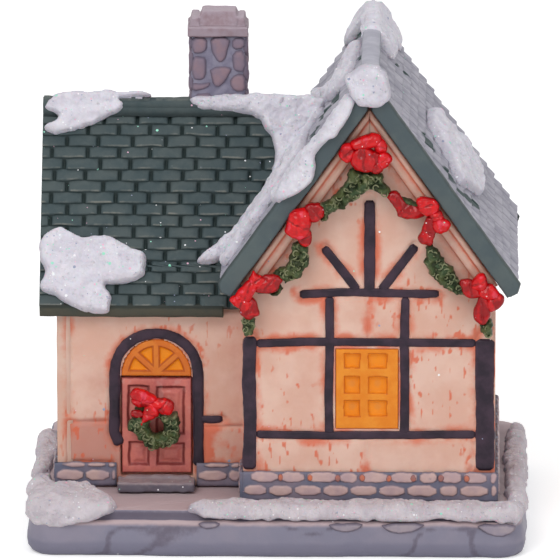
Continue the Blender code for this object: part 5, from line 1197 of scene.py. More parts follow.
def makeChimney():
    look = chimney
    wide, deep = look["right"] - look["left"], look["back"] - look["front"]
    sides = (onWall("front", look["front"], look["left"]), onWall("back", look["back"], look["right"], -1),
             onWall("left", look["left"], look["back"], -deep / wide),
             onWall("right", look["right"], look["front"], deep / wide))
    stones, seed = [], 300
    for put in sides:
        for outline in look["stones"]:
            seed += 1
            stones.append(softLump(0.55, [(x - look["left"], z) for x, z in outline], put, 0.36, edge=0.75, spacing=0.2,
                                   lump=0.06, lumpSize=1.1, seed=seed, depth=0.3, wobble=0.07, rounds=1))
    makeJoined("chimney_stones", stones, "chimneyStone", ("chimney_shaft",), "chimney_stone")
    core = block((look["left"] + 0.1, look["front"] + 0.1, look["low"]),
                 (look["right"] - 0.1, look["back"] - 0.1, look["top"]))
    verts, faces, normals = meltTogether("mortar", core[0], core[1], 0.3, 3, 0.12, 1.1, 9)
    makePiece("chimney_mortar", verts, faces, "chimneyMortar", slotName="chimney_stone")
    middle = (look["front"] + look["back"]) / 2
    cap = joinParts([block((left, middle - half, low), (right, middle + half, high), drawnIn)
                     for left, right, half, low, high, drawnIn in look["cap"]])
    verts, faces, normals = meltTogether("cap", cap[0], cap[1], 0.15, 5, 0.1, 1.3, 10)
    gap = fade(0.22, 0.0, np.abs(verts[:, 2] - 70.55)) + fade(0.3, 0.0, np.abs(verts[:, 2] - 69.1))
    # the second mask here is a painted highlight: the cap's faces that look up are lighter
    makePiece("chimney_top", verts, faces, "chimneyCap", ("chimney_cap",), slotName="chimney_stone",
              masks={"gap": np.clip(gap, 0, 1), "worn": np.clip(normals[:, 2], 0, 1)})


makeChimney()
print("chimney made")


# stone base, footing and step

plinth = {
    "halfX": 35.5, "halfY": 27.0, "corner": 4.5,
    "section": ((0.0, 1.0), (0.35, 0.55), (1.0, 0.2), (1.8, 0.05), (2.7, 0.1), (3.5, 0.2), (4.2, 0.3), (4.75, 0.42),
        (5.02, 0.62), (5.12, 0.9), (5.25, 1.2), (5.6, 1.38), (6.1, 1.44), (6.38, 1.55), (6.5, 1.85)),
    "hole": (13.0, 1.0, 14.4, 16.4, 5.3), "top": 6.5,
    "slabs": (
        ((7.2, 5.0), (12.5, 5.1), (11.6, 4.1), (9.6, 3.7), (7.9, 4.2)),
        ((14.6, 5.0), (21.2, 5.1), (20.2, 4.2), (17.6, 3.5), (15.6, 4.0)),
        ((28.0, 5.0), (33.9, 5.1), (33.6, 3.9), (31.6, 3.1), (29.4, 3.7)),
        ((-11.2, 5.1), (-7.6, 5.1), (-8.4, 4.2), (-10.2, 4.1)),
    ),
}


def roundedRectangle(centreX, centreY, halfX, halfY, corner, shares):
    # points at these shares of the way round a rounded rectangle, and the way out from it at each
    x, y, quarter = halfX - corner, halfY - corner, math.pi / 2 * corner
    # each leg: its length, where it starts or its middle, and its way, or an angle where it is a corner
    legs = ((2 * x, (-x, -halfY), (1, 0)), (quarter, (x, -y), -90), (2 * y, (halfX, -y), (0, 1)), (quarter, (x, y), 0),
            (2 * x, (x, halfY), (-1, 0)), (quarter, (-x, y), 90), (2 * y, (-halfX, y), (0, -1)),
            (quarter, (-x, -y), 180))
    points, outs = [], []
    for d in shares * sum(leg[0] for leg in legs):
        for length, at, way in legs:
            if d <= length:
                break
            d -= length
        if isinstance(way, tuple):
            out, far = (way[1], -way[0]), (way[0] * d, way[1] * d)
        else:
            turn = math.radians(way) + d / corner
            out = (math.cos(turn), math.sin(turn))
            far = (corner * out[0], corner * out[1])
        points.append((centreX + at[0] + far[0], centreY + at[1] + far[1]))
        outs.append(out)
    return np.array(points), np.array(outs)


def makeBase():
    look = plinth
    shares = np.linspace(0, 1, 760, endpoint=False)
    outer, outs = roundedRectangle(0.0, 0.0, look["halfX"], look["halfY"], look["corner"], shares)
    hole = roundedRectangle(*look["hole"], shares)[0]
    count = len(hole)
    heights, insets = np.array(look["section"]).T
    spots = np.concatenate([np.repeat(outer[:, None, :], len(heights), 1),
                            np.repeat(heights[None, :, None], count, 0)], -1)
    rough = 0.22 * lumps(spots, 7.0, 90, 2) + 0.07 * lumps(spots, 1.6, 91, 2)
    vein = np.abs(lumps(spots * [1, 1, 2.2], 9.0, 92, 1))
    inward = insets + 0.22 - rough + 0.16 * fade(0.12, 0.02, vein) * (heights < 5.2)
    wavy = 0.12 * lumps(spots, 2.4, 93, 2) * ((heights > 4.5) & (heights < 6.0))
    side = np.concatenate([spots[..., :2] - outs[:, None, :] * inward[..., None],
                           (spots[..., 2] + wavy)[..., None]], -1)
    # from the hole outwards underneath, up the side, and back over the top to the hole
    reach = np.array((0.04, 0.1, 0.2, 0.35, 0.55, 0.8, 1.0))[None, :, None]
    flat = side[:, -1:, :2] * (1 - reach) + hole[:, None, :] * reach
    top = look["top"] + 0.09 * lumps(flat, 1.6, 94, 2) * (reach[..., 0] < 1)
    under = hole[:, None, :] * (1 - reach[:, :-1]) + side[:, :1, :2] * reach[:, :-1]
    under = np.concatenate([under, 0.02 * lumps(under, 3.0, 95, 2)[..., None] - 0.03], -1)
    start = np.concatenate([hole, np.zeros((count, 1))], 1)[:, None, :]
    rings = np.concatenate([start, under, side, np.concatenate([flat, top[..., None]], -1)], 1)
    # foot is painted shade: darker towards the bottom of the base and under it
    foot = np.concatenate([np.full(7, 0.6), fade(2.6, 1.9, heights), np.zeros(7)])
    lit = np.concatenate([np.zeros(7), fade(4.1, 5.0, heights) * (heights < 5.15) + (heights > 6.4), np.ones(7)])
    # gaps is a painted shadow line in the set-back band under the top edge, and also the dark cracks of the veins
    gaps = np.maximum(fade(5.0, 5.25, heights) * fade(6.5, 6.3, heights),
                      0.75 * fade(0.09, 0.02, vein) * ((heights < 5) & (heights > 0.3)))
    gaps = np.concatenate([np.zeros((count, 7)), gaps, np.zeros((count, 7))], 1)
    around = rings.shape[1]
    faces = []
    for r in range(count):
        row, after = r * around, (r + 1) % count * around
        faces += [(row + c, row + (c + 1) % around, after + (c + 1) % around, after + c) for c in range(around)]
    makePiece("stone_plinth", rings.reshape(-1, 3), faces, "plinthStone", ("base",), slotName="base_stone",
              masks={"foot": np.tile(foot, count), "gap": gaps.ravel(), "lit": np.tile(lit, count)})
    # flat slabs let into the top of the front face, and of the back
    parts = []
    for index, outline in enumerate(look["slabs"]):
        for way in (-1, 1):
            def put(u, v, height, way=way):
                return np.stack([-way * u, way * (26.55 + height - 0.05 * (v - 3.0)), v], -1)
            parts.append(softLump(0.5, outline, put, 0.3, edge=0.5, spacing=0.2, lump=0.06, lumpSize=1.6,
                                  seed=400 + index, depth=0.4, wobble=0.08, rounds=1))
    makeJoined("plinth_slabs", parts, "slabStone", slotName="base_stone")


footing = {"foot": 6.8, "joint": 0.12, "shortest": 0.7}
footingTop, wingTop = 11.0, 10.1
footingFaces = (                 # each face: its run, its top, and where its points go
    (-4.9, 31.2, footingTop, onWall("front", -20.95)),
    (-31.8, -23.0, wingTop, onWall("front", -13.15)),
    (-11.6, -5.2, wingTop, onWall("front", -13.15)),
    (-13.1, 16.9, wingTop, onWall("left", -31.85, 3.8, -1)),
    (-20.9, 22.9, footingTop, onWall("right", 31.25)),
    (-20.9, -13.6, footingTop, onWall("left", -5.25)),
    (17.3, 22.9, footingTop, onWall("left", -5.25)),
    (-5.2, 31.2, footingTop, onWall("back", 22.95, 26.0, -1)),
    (-31.8, -5.6, wingTop, onWall("back", 16.95, -37.4, -1)),
)


def makeFooting():
    def mortarFace(points):
        return 0.08 * lumps(points, 1.2, 77, 2), np.zeros(len(points)), np.zeros(len(points))

    stones, cores, seed = [], [], 500
    for low, high, top, put in footingFaces:
        for course, (z0, z1) in enumerate(((7.55, 9.2), (9.5, top + 0.15))):
            spot = low + 0.1 + (0.9 if course else 0.0)
            while spot < high - 0.6:
                end = min(spot + 2.6 + 2.2 * (chance.random() ** 0.8), high)
                seed += 1
                if end - spot > footing["shortest"]:
                    outline = rectangle(spot + footing["joint"], end - footing["joint"], z0, z1)
                    stones.append(softLump(0.35, outline, put, 0.2, edge=0.3, spacing=0.22, lump=0.06, lumpSize=0.9,
                                           seed=seed, depth=0.2, wobble=0.1, rounds=1))
                spot = end
        cores.append(wallSheet(low, high, footing["foot"], top, put, mortarFace, step=0.4, thick=0.5))
    makeJoined("footing_stones", stones, "courseStone", ("stone_footing",), "stone")
    makePiece("footing_mortar", *mergeMasked(cores)[:2], "courseMortar", slotName="stone")
    marks = []
    for index, x in enumerate((0.5, 4.7, 8.6, 12.1, 15.8, 19.3, 23.2, 26.8)):
        outline = [(x + 0.42 * math.cos(t), 10.25 + 0.55 * math.sin(t))
                   for t in np.linspace(0, 2 * math.pi, 12, endpoint=False)]
        marks.append(softLump(0.2, outline, onWall("front", -21.12), 0.14, edge=0.25, spacing=0.12, seed=600 + index,
                              wobble=0.07, rounds=1))
    makeJoined("footing_marks", marks, "courseMark", slotName="stone")


doorStep = (((-22.75, -16.7, 6.75), (-11.85, -13.1, 8.15)), ((-21.6, -14.2, 7.6), (-12.6, -12.9, 8.45)))


def makeStep():
    slabs = joinParts([block(low, high) for low, high in doorStep])
    verts, faces, normals = meltTogether("step", slabs[0], slabs[1], 0.18, 4, 0.12, 1.0, 15)
    # side is painted shade: the step's side faces, low down, are darker than its top
    side = np.clip(1.2 - normals[:, 2] * 1.3, 0, 1) * fade(8.3, 7.6, verts[:, 2])
    makePiece("door_step_stone", verts, faces, "stepStone", ("door_step",), slotName="stone", masks={"rim": side})


makeBase()
makeFooting()
makeStep()
print("stonework made")


# snow

snowLook = {"edge": 1.0, "spacing": 0.22, "lump": 0.34, "lumpSize": 1.7, "wobbleSize": 1.5}
snowOutlines = {
    "topLeftBack": ((-33.4, -0.5), (-18.6, -0.5), (-20.0, 1.3), (-28.0, 2.4), (-33.2, 2.4)),
    "valley": ((-12.3, 25.0), (-9.9, 22.6), (-6.4, 19.6), (-4.8, 17.6), (-3.0, 15.0), (-1.7, 12.6), (-0.7, 10.0),
        (-1.0, 7.2), (-1.6, 5.4), (-2.6, 3.0), (-5.4, 2.3), (-9.0, 2.1), (-12.6, 1.6), (-13.1, -0.4)),
    "valleyBack": ((-4.9, -0.5), (3.6, -0.5), (2.0, 1.6), (-1.0, 2.0), (-4.0, 1.4)),
    "right": ((28.6, 13.4), (15.4, 14.4), (14.7, 18.3), (6.7, 21.6), (12.5, 23.7), (18.0, 26.9), (24.3, 27.1),
        (33.9, 25.8), (35.0, 21.0), (29.8, 17.5)),
    "apex": ((9.4, 68.2), (9.9, 69.4), (11.3, 70.2), (13.3, 70.8), (14.7, 70.0), (15.4, 68.7), (16.2, 66.8),
        (15.7, 65.5), (13.8, 64.3), (12.4, 64.6), (10.9, 64.9), (10.3, 66.3)),
    "topLeft": ((-33.2, 0.5), (-32.2, -0.6), (-26.0, -0.9), (-18.6, -0.8), (-17.9, 0.1), (-23.4, 0.4), (-21.9, 1.5),
        (-23.9, 2.8), (-25.8, 3.7), (-27.8, 4.8), (-29.8, 5.2), (-33.4, 5.6), (-33.6, 4.2), (-31.8, 3.9),
        (-31.6, 2.6), (-33.4, 2.1)),
    "lowLeft": ((-34.0, 21.4), (-31.3, 19.6), (-29.6, 20.0), (-27.9, 21.3), (-24.6, 20.8), (-23.1, 21.2),
        (-21.6, 22.4), (-19.4, 23.3), (-18.6, 24.4), (-18.7, 25.4), (-19.1, 27.3), (-22.9, 27.9), (-24.7, 27.9),
        (-23.4, 30.0), (-24.0, 31.4), (-23.9, 32.2), (-26.8, 32.5), (-29.4, 31.4), (-31.9, 29.5), (-34.0, 28.9),
        (-33.0, 25.9), (-34.1, 24.2)),
    "lap": ((24.0, 11.5), (19.0, 12.6), (20.5, 15.0), (14.0, 15.9), (9.4, 16.9), (9.6, 18.6), (9.2, 20.7),
        (7.6, 23.7), (4.0, 27.1), (6.3, 30.4), (4.3, 32.5), (3.6, 35.0), (6.5, 36.2), (10.2, 36.0), (13.5, 30.5),
        (17.9, 22.5), (21.0, 16.2), (23.8, 12.4)),
    "strip": ((31.5, 2.6), (24.0, 3.4), (19.3, 4.3), (17.6, 6.0), (17.4, 8.4), (20.2, 10.6), (24.6, 12.4),
        (28.0, 15.2), (36.6, 15.0), (38.0, 13.2), (32.0, 11.7), (28.2, 10.2), (28.6, 7.9), (32.6, 6.6), (34.0, 4.4)),
    "rake": ((0.5, 3.0), (0.9, 8.7), (0.8, 11.4), (3.7, 13.1), (6.7, 16.4), (4.8, 20.2), (3.6, 21.9), (1.8, 23.2),
        (-2.0, 22.6), (-3.6, 19.4), (-4.2, 17.2), (-3.9, 15.6), (-2.6, 13.8), (-2.2, 12.6), (-2.9, 10.5), (-3.3, 8.0),
        (-3.1, 6.0), (-2.4, 4.0)),
}


def snowHeap(outline, put, seed, rise, crown=0.0, depth=0.35, wobble=0.28):
    return softLump(0.7, outline, put, rise, seed=seed, depth=depth, crown=crown, wobble=wobble,
                    extra=lambda flat: 0.16 * lumps(flat, 0.7, seed + 9, 2), **snowLook)


def makeSnow(name, heaps, stands, finish="snow"):
    makeJoined(name, heaps, finish, stands, "snow")


def saddleRun(half, low, high, rise, seed, tail=0.9, spread=0.0, leftFrom=None):
    # snow astride the gable ridge, its edges wandering down both slopes, its crest falling over the tail
    left, right = downGable(-1), downGable(1)
    us, shares = np.linspace(low, high, int((high - low) / 0.25)), np.linspace(-1, 1, 33)
    top, bottom = [], []
    for u in us:
        end = min(1.0, (u - low) / 0.9, (high - u) / 0.9)
        swell = math.sqrt(max(0.0, 1 - (1 - end) ** 2))
        crest = swell * min(1.0, (high - u) / tail)
        sway = 0.9 * lumps(np.array([[u, seed * 3.0], [u, seed * 3.0 + 50]]), 3.4, seed, 2)
        for share in shares:
            reach = half + spread * (u - low) / (high - low) + (sway[0] if share < 0 else sway[1])
            if share < 0 and leftFrom is not None:
                reach = 1.8 + (reach - 1.8) * float(fade(leftFrom - 1.2, leftFrom + 1.2, u))
            v = abs(share) * reach * (0.55 + 0.45 * swell)
            edge = math.sqrt(max(0.0, 1 - (max(0.0, abs(share) - 0.45) / 0.55) ** 2))
            rough = 0.3 * lumps(np.array([[u, share * half]]), 1.6, seed + 1, 3)[0]
            lift = 0.05 + (rise + rough) * edge * (0.25 + 0.75 * swell)
            put = left if share < 0 else right
            spot = put(*np.array([[u], [v], [lift]]))[0]
            if abs(share) < 0.16:                # both slopes' snow meets on the centre plane
                blend = 1 - abs(share) / 0.16
                crown = 0.5 * (1 - min(1.0, abs(share) * 3.0))
                spot[0] = spot[0] * (1 - blend) + gable["centre"] * blend
                spot[2] = max(spot[2], gable["ridge"] + rise * 0.75 * (0.3 + 0.7 * crest) + crown * 0.3 * crest
                              + rough * 0.5)
            top.append(spot)
            bottom.append(put(*np.array([[u], [v * 0.9], [-0.5]]))[0])
    size = (len(us), len(shares), 3)
    return *shell(np.reshape(top, size), np.reshape(bottom, size)), np.zeros(2 * len(top))


def overBoard(u, v, height):
    # on the gable's left slope, and bent down over the front of its board
    over = np.maximum(-1.8 - u, 0.0)
    turn = np.minimum(over / 0.4, math.pi / 2)
    fall = 0.4 * (1 - np.cos(turn)) + np.maximum(over - 0.4 * math.pi / 2, 0.0)
    spots = downGable(-1)(np.maximum(u, -1.8), v, height * np.cos(turn) - fall)
    spots[:, 1] -= 0.4 * np.sin(turn) + height * np.sin(turn)
    return spots


def roofSnow():
    front, back, left, right = downMain(-1), downMain(1), downGable(-1), downGable(1)
    outlines = snowOutlines

    def line(v, off):
        return valleyX(np.array([v]))[0] + off, v

    inner = (line(-0.6, 0.5), line(3.0, 0.3), line(8.0, 0.3), line(14.0, 0.2), line(20.0, 0.1), line(24.8, -0.2))
    makeSnow("snow_roof_top_left", [snowHeap(outlines["topLeft"], front, 700, 1.2),
                                    snowHeap(outlines["topLeftBack"], back, 701, 0.9)], ("snow_main_ridge",))
    makeSnow("snow_roof_low_left", [snowHeap(outlines["lowLeft"], front, 702, 1.5)], ("snow_main_eave",))
    # the valley between the roofs, up to the ridge and the chimney's foot
    makeSnow("snow_valley_bank", [snowHeap(outlines["valley"] + inner, front, 710, 1.35),
                                  snowHeap(outlines["valleyBack"], back, 711, 0.9),
                                  snowHeap(outlines["lap"], left, 712, 0.95)], ("snow_valley",))
    makeSnow("snow_right_patch", [snowHeap(outlines["right"], right, 720, 1.3)], ("snow_right_slope",))
    makeSnow("snow_left_strip", [snowHeap(outlines["strip"], left, 721, 0.85)], ("snow_left_slope",))
    makeSnow("snow_rake_strip", [snowHeap(outlines["rake"], overBoard, 722, 0.95)], ("snow_left_rake",))


def ridgeSnow():
    lump = snowHeap(snowOutlines["apex"], onWall("front", -23.15), 730, 1.3, depth=1.2)
    makeSnow("snow_apex_lump", [lump, saddleRun(3.6, -2.3, 1.9, 1.1, 731)], ("snow_ridge_front",))
    makeSnow("snow_ridge_run", [saddleRun(5.2, 26.8, 46.5, 1.15, 732, tail=6.0, spread=1.6, leftFrom=39.5)],
             ("snow_ridge_back",))


yard = {
    "halfX": 33.7, "halfY": 25.2, "corner": 3.0, "top": 6.5, "bend": 0.5,
    "left": ((-36.2, -25.5), (-36.3, -12.0), (-34.0, -8.5), (-32.2, -8.5), (-32.2, -13.6), (-27.4, -13.7),
        (-24.8, -17.5), (-22.6, -23.0), (-22.4, -25.4), (-25.0, -26.6), (-29.5, -28.0), (-33.0, -27.4)),
    "farLeft": ((-36.0, -5.5), (-36.0, 14.0), (-34.2, 17.0), (-32.0, 16.0), (-32.0, -4.5), (-34.0, -7.0)),
    "front": ((-12.9, -25.2), (-11.6, -22.6), (-6.0, -22.0), (31.8, -21.9), (34.5, -22.6), (35.4, -25.0),
        (34.0, -26.9), (24.0, -26.6), (14.0, -26.9), (4.0, -26.5), (-4.0, -26.9), (-10.0, -26.6)),
    "right": ((32.2, -23.6), (32.2, 19.0), (34.0, 21.5), (35.6, 19.0), (35.9, 2.0), (35.6, -23.0), (34.0, -25.0)),
}


def onYard(u, v, height):
    # on the yard, and bent down over the edge of the base
    bend = yard["bend"]
    sideX = np.maximum(np.abs(u) - (yard["halfX"] - yard["corner"]), 0)
    sideY = np.maximum(np.abs(v) - (yard["halfY"] - yard["corner"]), 0)
    length = np.hypot(sideX, sideY)
    outX, outY = np.sign(u) * sideX / np.maximum(length, 1e-6), np.sign(v) * sideY / np.maximum(length, 1e-6)
    over = np.maximum(length - yard["corner"], 0.0)
    turn = np.minimum(over / bend, math.pi / 2)
    out = bend * np.sin(turn) + height * np.sin(turn) - over
    fall = bend * (1 - np.cos(turn)) + np.maximum(over - bend * math.pi / 2, 0.0)
    return np.stack([u + outX * out, v + outY * out, yard["top"] - fall + height * np.cos(turn)], -1)


def groundSnow():
    for index, (name, key, rise, crown, node) in enumerate((
            ("snow_mound_left", "left", 1.25, 0.7, "snow_ground_left"),
            ("snow_bank_far_left", "farLeft", 1.0, 0.2, "snow_ground_far_left"),
            ("snow_bank_front", "front", 1.05, 0.2, "snow_ground_front"),
            ("snow_bank_right", "right", 1.05, 0.2, "snow_ground_right"))):
        makeSnow(name, [snowHeap(yard[key], onYard, 740 + index, rise, crown, wobble=0.32)], (node,), "groundSnow")


roofSnow()
ridgeSnow()
groundSnow()
print("snow made")


# garlands, wreath and bows

greenery = {
    "garland_left_upper": (
        ((9.9, 54.6), (10.4, 55.7), (11.5, 55.1), (12.7, 55.1), (13.3, 54.5), (13.4, 53.3), (12.7, 52.5),
            (12.0, 52.1), (11.3, 51.2), (10.2, 50.4), (9.2, 49.6), (8.1, 49.6), (7.6, 49.0), (7.1, 48.0), (6.0, 48.0),
            (6.2, 49.0), (5.5, 49.5), (4.6, 50.0), (6.6, 50.8), (8.1, 51.6), (9.2, 52.6), (9.9, 53.6)),
    ),
    "garland_right_upper": (
        ((12.7, 55.1), (14.5, 55.0), (15.0, 54.2), (15.2, 53.3), (15.9, 52.6), (15.8, 51.7), (15.3, 51.5),
            (14.3, 52.1), (13.5, 52.6), (12.7, 52.5)),
        ((17.3, 51.3), (18.4, 50.9), (19.6, 50.7), (20.9, 50.7), (20.9, 50.1), (18.9, 50.1), (17.7, 50.4)),
    ),
    "garland_left_lower": (
        ((1.9, 42.5), (2.1, 44.5), (2.9, 45.0), (4.2, 44.7), (4.5, 43.3), (4.4, 42.5), (4.2, 41.4), (3.4, 40.1),
            (2.8, 39.5), (1.6, 38.8), (0.8, 39.3), (-0.4, 40.0), (-0.7, 40.5), (0.1, 41.0), (1.1, 41.3)),
        ((-2.6, 37.7), (-0.9, 37.5), (0.1, 38.0), (0.3, 38.9), (1.0, 38.7), (0.8, 37.9), (0.1, 37.2), (-0.9, 37.0),
            (-2.1, 37.2)),
        ((-4.9, 34.1), (-3.0, 34.5), (-3.1, 31.6), (-4.0, 31.1), (-4.8, 31.6)),
    ),
    "garland_right_lower": (
        ((21.0, 44.8), (21.6, 44.7), (22.5, 43.9), (23.1, 43.2), (23.8, 42.2), (24.7, 41.1), (24.8, 40.5),
            (25.8, 39.4), (26.5, 37.4), (25.6, 37.2), (24.5, 37.6), (23.6, 38.5), (22.8, 38.9), (22.0, 39.8),
            (21.3, 41.1), (20.7, 42.4), (21.0, 43.5)),
        ((28.5, 33.7), (30.2, 34.0), (30.5, 32.7), (30.4, 31.6), (29.6, 31.1), (28.6, 31.9)),
    ),
    "wreath": (
        ((-16.9, 18.5), (-18.3, 18.7), (-19.4, 18.7), (-20.3, 18.4), (-21.0, 17.3), (-21.2, 16.1), (-21.1, 15.1),
            (-20.3, 14.3), (-19.3, 13.9), (-19.2, 13.0), (-18.3, 12.6), (-16.7, 12.5), (-16.7, 14.6), (-17.9, 14.9),
            (-18.4, 15.6), (-18.4, 16.5), (-17.9, 17.0), (-16.9, 17.2)),
        ((-17.8, 18.6), (-16.2, 17.9), (-15.2, 17.8), (-14.1, 17.6), (-14.4, 17.0), (-13.9, 16.4), (-13.7, 15.2),
            (-13.9, 14.1), (-14.6, 13.4), (-15.7, 12.8), (-17.7, 12.5), (-17.7, 14.6), (-16.5, 14.9), (-16.2, 15.7),
            (-16.3, 16.6), (-16.7, 17.1), (-17.8, 17.2)),
    ),
}

# each lobe: its rise, how much painted shade it has, and its outline
ribbons = {
    "bow_apex": (
        (0.9, 0, ((10.6, 59.5), (11.5, 60.0), (12.4, 60.1), (13.3, 60.7), (14.2, 60.4), (14.5, 59.7), (14.0, 59.1),
            (12.8, 58.9), (11.5, 58.5), (10.7, 58.8))),
        (0.7, 0.2, ((14.0, 59.5), (14.7, 59.9), (15.2, 59.2), (15.2, 58.4), (14.3, 58.2), (13.8, 58.7))),
        (0.9, 0, ((14.7, 57.9), (15.4, 57.9), (16.0, 57.1), (15.6, 56.3), (14.8, 55.9), (14.3, 56.6), (14.3, 57.4))),
        (0.8, 0.3, ((8.8, 57.8), (9.3, 58.8), (10.2, 59.2), (10.7, 58.5), (10.6, 57.4), (10.0, 56.7), (9.4, 57.0))),
        (0.9, 0.8, ((10.2, 57.1), (11.0, 58.4), (12.3, 58.8), (13.4, 58.2), (14.0, 56.6), (13.3, 55.5), (12.0, 55.4),
            (11.0, 55.8))),
        (0.7, 0.6, ((13.3, 57.9), (14.3, 58.0), (14.8, 56.0), (14.3, 55.3), (13.4, 55.3), (13.3, 56.3))),
    ),
    "bow_left_mid": (
        (1.1, 0, ((1.3, 46.7), (1.7, 47.5), (2.0, 48.8), (2.9, 49.7), (4.0, 49.9), (4.6, 48.8), (4.5, 47.4),
            (4.3, 46.3), (3.3, 45.7), (2.2, 46.0))),
        (0.8, 0.9, ((4.0, 49.9), (4.7, 50.3), (5.6, 50.5), (6.2, 50.1), (6.5, 49.2), (6.0, 48.5), (5.0, 48.1),
            (4.5, 48.5))),
        (0.6, 0.7, ((3.1, 46.6), (4.5, 46.8), (4.7, 45.8), (4.5, 44.7), (3.7, 44.6), (3.2, 45.5))),
    ),
    "bow_right_mid": (
        (0.9, 0, ((19.8, 51.0), (20.1, 51.4), (20.7, 51.5), (21.9, 51.1), (22.5, 50.4), (22.3, 49.8), (21.7, 49.3),
            (20.9, 49.1), (20.2, 49.8), (20.0, 50.3))),
        (0.7, 0.2, ((21.9, 49.5), (22.8, 49.6), (23.2, 48.7), (22.8, 48.2), (22.1, 48.3), (21.6, 48.9))),
        (0.9, 0, ((22.1, 48.2), (23.2, 48.6), (24.3, 47.8), (23.8, 47.1), (23.2, 46.7), (22.4, 46.8), (22.1, 47.4))),
        (0.6, 0.8, ((21.0, 48.3), (21.6, 48.7), (22.1, 48.1), (22.1, 47.0), (21.9, 46.1), (21.7, 44.9), (21.2, 45.0),
            (20.1, 45.4), (20.2, 46.2), (20.7, 47.3))),
    ),
    "bow_right_end": (
        (0.9, 0, ((27.5, 39.4), (28.3, 40.4), (29.2, 40.4), (29.4, 39.6), (29.5, 38.9), (28.9, 38.2), (28.1, 38.6),
            (27.6, 38.9))),
        (0.9, 0.1, ((28.9, 38.7), (29.9, 39.0), (30.7, 38.5), (31.2, 37.5), (30.4, 37.0), (29.4, 37.3),
            (28.5, 37.8))),
        (0.7, 0.7, ((29.9, 37.4), (31.2, 37.7), (31.9, 36.8), (31.2, 36.0), (30.4, 35.4), (29.8, 35.6),
            (29.7, 36.5))),
        (0.5, 0.9, ((25.8, 39.4), (26.6, 39.6), (27.6, 39.5), (28.3, 38.3), (28.9, 37.5), (27.9, 37.3), (26.9, 37.4),
            (26.3, 38.2))),
        (0.6, 0.9, ((28.6, 37.3), (29.5, 37.3), (29.9, 36.1), (29.9, 34.8), (29.5, 33.9), (28.9, 33.5), (28.0, 34.0),
            (28.0, 35.4), (28.3, 36.4))),
    ),
    "bow_left_end": (
        (0.8, 0, ((-3.2, 40.8), (-2.7, 40.1), (-1.9, 40.0), (-1.8, 39.2), (-2.6, 38.6), (-3.4, 39.0), (-3.6, 39.6))),
        (0.6, 0.9, ((-1.9, 40.0), (-0.4, 40.1), (0.7, 39.6), (0.1, 38.9), (0.1, 38.4), (-0.9, 37.9), (-2.5, 37.7),
            (-3.1, 38.3), (-2.7, 38.9))),
        (0.9, 0, ((-4.4, 38.8), (-3.6, 39.6), (-2.7, 39.0), (-3.2, 38.1), (-3.6, 37.2), (-3.9, 36.5), (-4.9, 36.8),
            (-5.8, 36.9), (-5.1, 37.9))),
        (0.8, 0.1, ((-6.4, 36.7), (-5.7, 37.2), (-4.5, 36.9), (-3.7, 36.4), (-3.9, 35.4), (-4.6, 35.1), (-5.5, 35.8),
            (-6.2, 36.3))),
        (0.6, 0.8, ((-4.2, 36.4), (-3.4, 36.8), (-3.0, 35.8), (-2.6, 34.7), (-3.1, 34.6), (-4.0, 33.9), (-4.8, 34.6),
            (-4.9, 35.4))),
    ),
    "red_swag": (
        (0.7, 0.9, ((15.6, 51.7), (16.6, 52.2), (17.4, 51.6), (17.7, 50.9), (18.9, 50.5), (20.5, 50.4), (20.8, 48.8),
            (18.9, 48.5), (17.2, 48.7), (17.0, 49.7), (16.1, 50.8))),
        (0.6, 0.9, ((17.3, 50.2), (19.8, 50.2), (20.9, 48.9), (19.1, 48.5), (17.3, 48.6))),
    ),
    "wreath_bow": (
        (0.7, 0, ((-20.7, 20.8), (-20.2, 21.6), (-18.9, 21.3), (-17.2, 20.4), (-17.6, 19.8), (-19.0, 19.8),
            (-20.0, 20.0))),
        (0.6, 0.6, ((-20.5, 20.1), (-19.4, 20.3), (-18.2, 19.8), (-18.0, 19.2), (-19.3, 19.2), (-20.3, 19.5))),
        (0.7, 0.3, ((-17.2, 20.1), (-15.7, 20.1), (-14.9, 19.6), (-15.0, 18.8), (-15.3, 18.0), (-16.5, 18.3),
            (-17.4, 19.0), (-17.9, 19.4))),
        (0.6, 0.2, ((-18.5, 19.5), (-17.5, 19.5), (-17.0, 17.8), (-17.7, 17.5), (-18.8, 17.1), (-19.1, 16.5),
            (-19.4, 16.7), (-18.8, 17.8))),
        (0.4, 0.9, ((-20.3, 18.3), (-19.7, 18.4), (-18.9, 17.9), (-19.8, 17.6), (-20.7, 17.8))),
    ),
}

mossLook = {"edge": 0.7, "spacing": 0.15, "lump": 0.6, "lumpSize": 0.7, "depth": 0.5, "wobble": 0.3, "wobbleSize": 0.7,
            "rounds": 1}
curlLook = {"share": 1.7, "radius": 0.34, "tube": 0.1}


def curlTube(centre, radius, start, sweep, tube):
    # an open loop of moss strand lying on the front of a lump
    steps, sides = 9, 5
    front = np.array([0.0, -1.0, 0.0])
    rings = []
    for index, turn in enumerate(np.linspace(start, start + sweep, steps)):
        out = np.array([math.cos(turn), 0.0, math.sin(turn)])
        middle = np.array([centre[0] + radius * out[0], centre[1] - 0.12 * math.sin(turn * 2 + start),
                           centre[2] + radius * out[2]])
        size = tube * (0.5 if index in (0, steps - 1) else 1.0)
        rings.append([middle + size * (math.cos(a) * out + math.sin(a) * front)
                      for a in np.linspace(0, 2 * math.pi, sides, endpoint=False)])
    return ringSkin(rings)


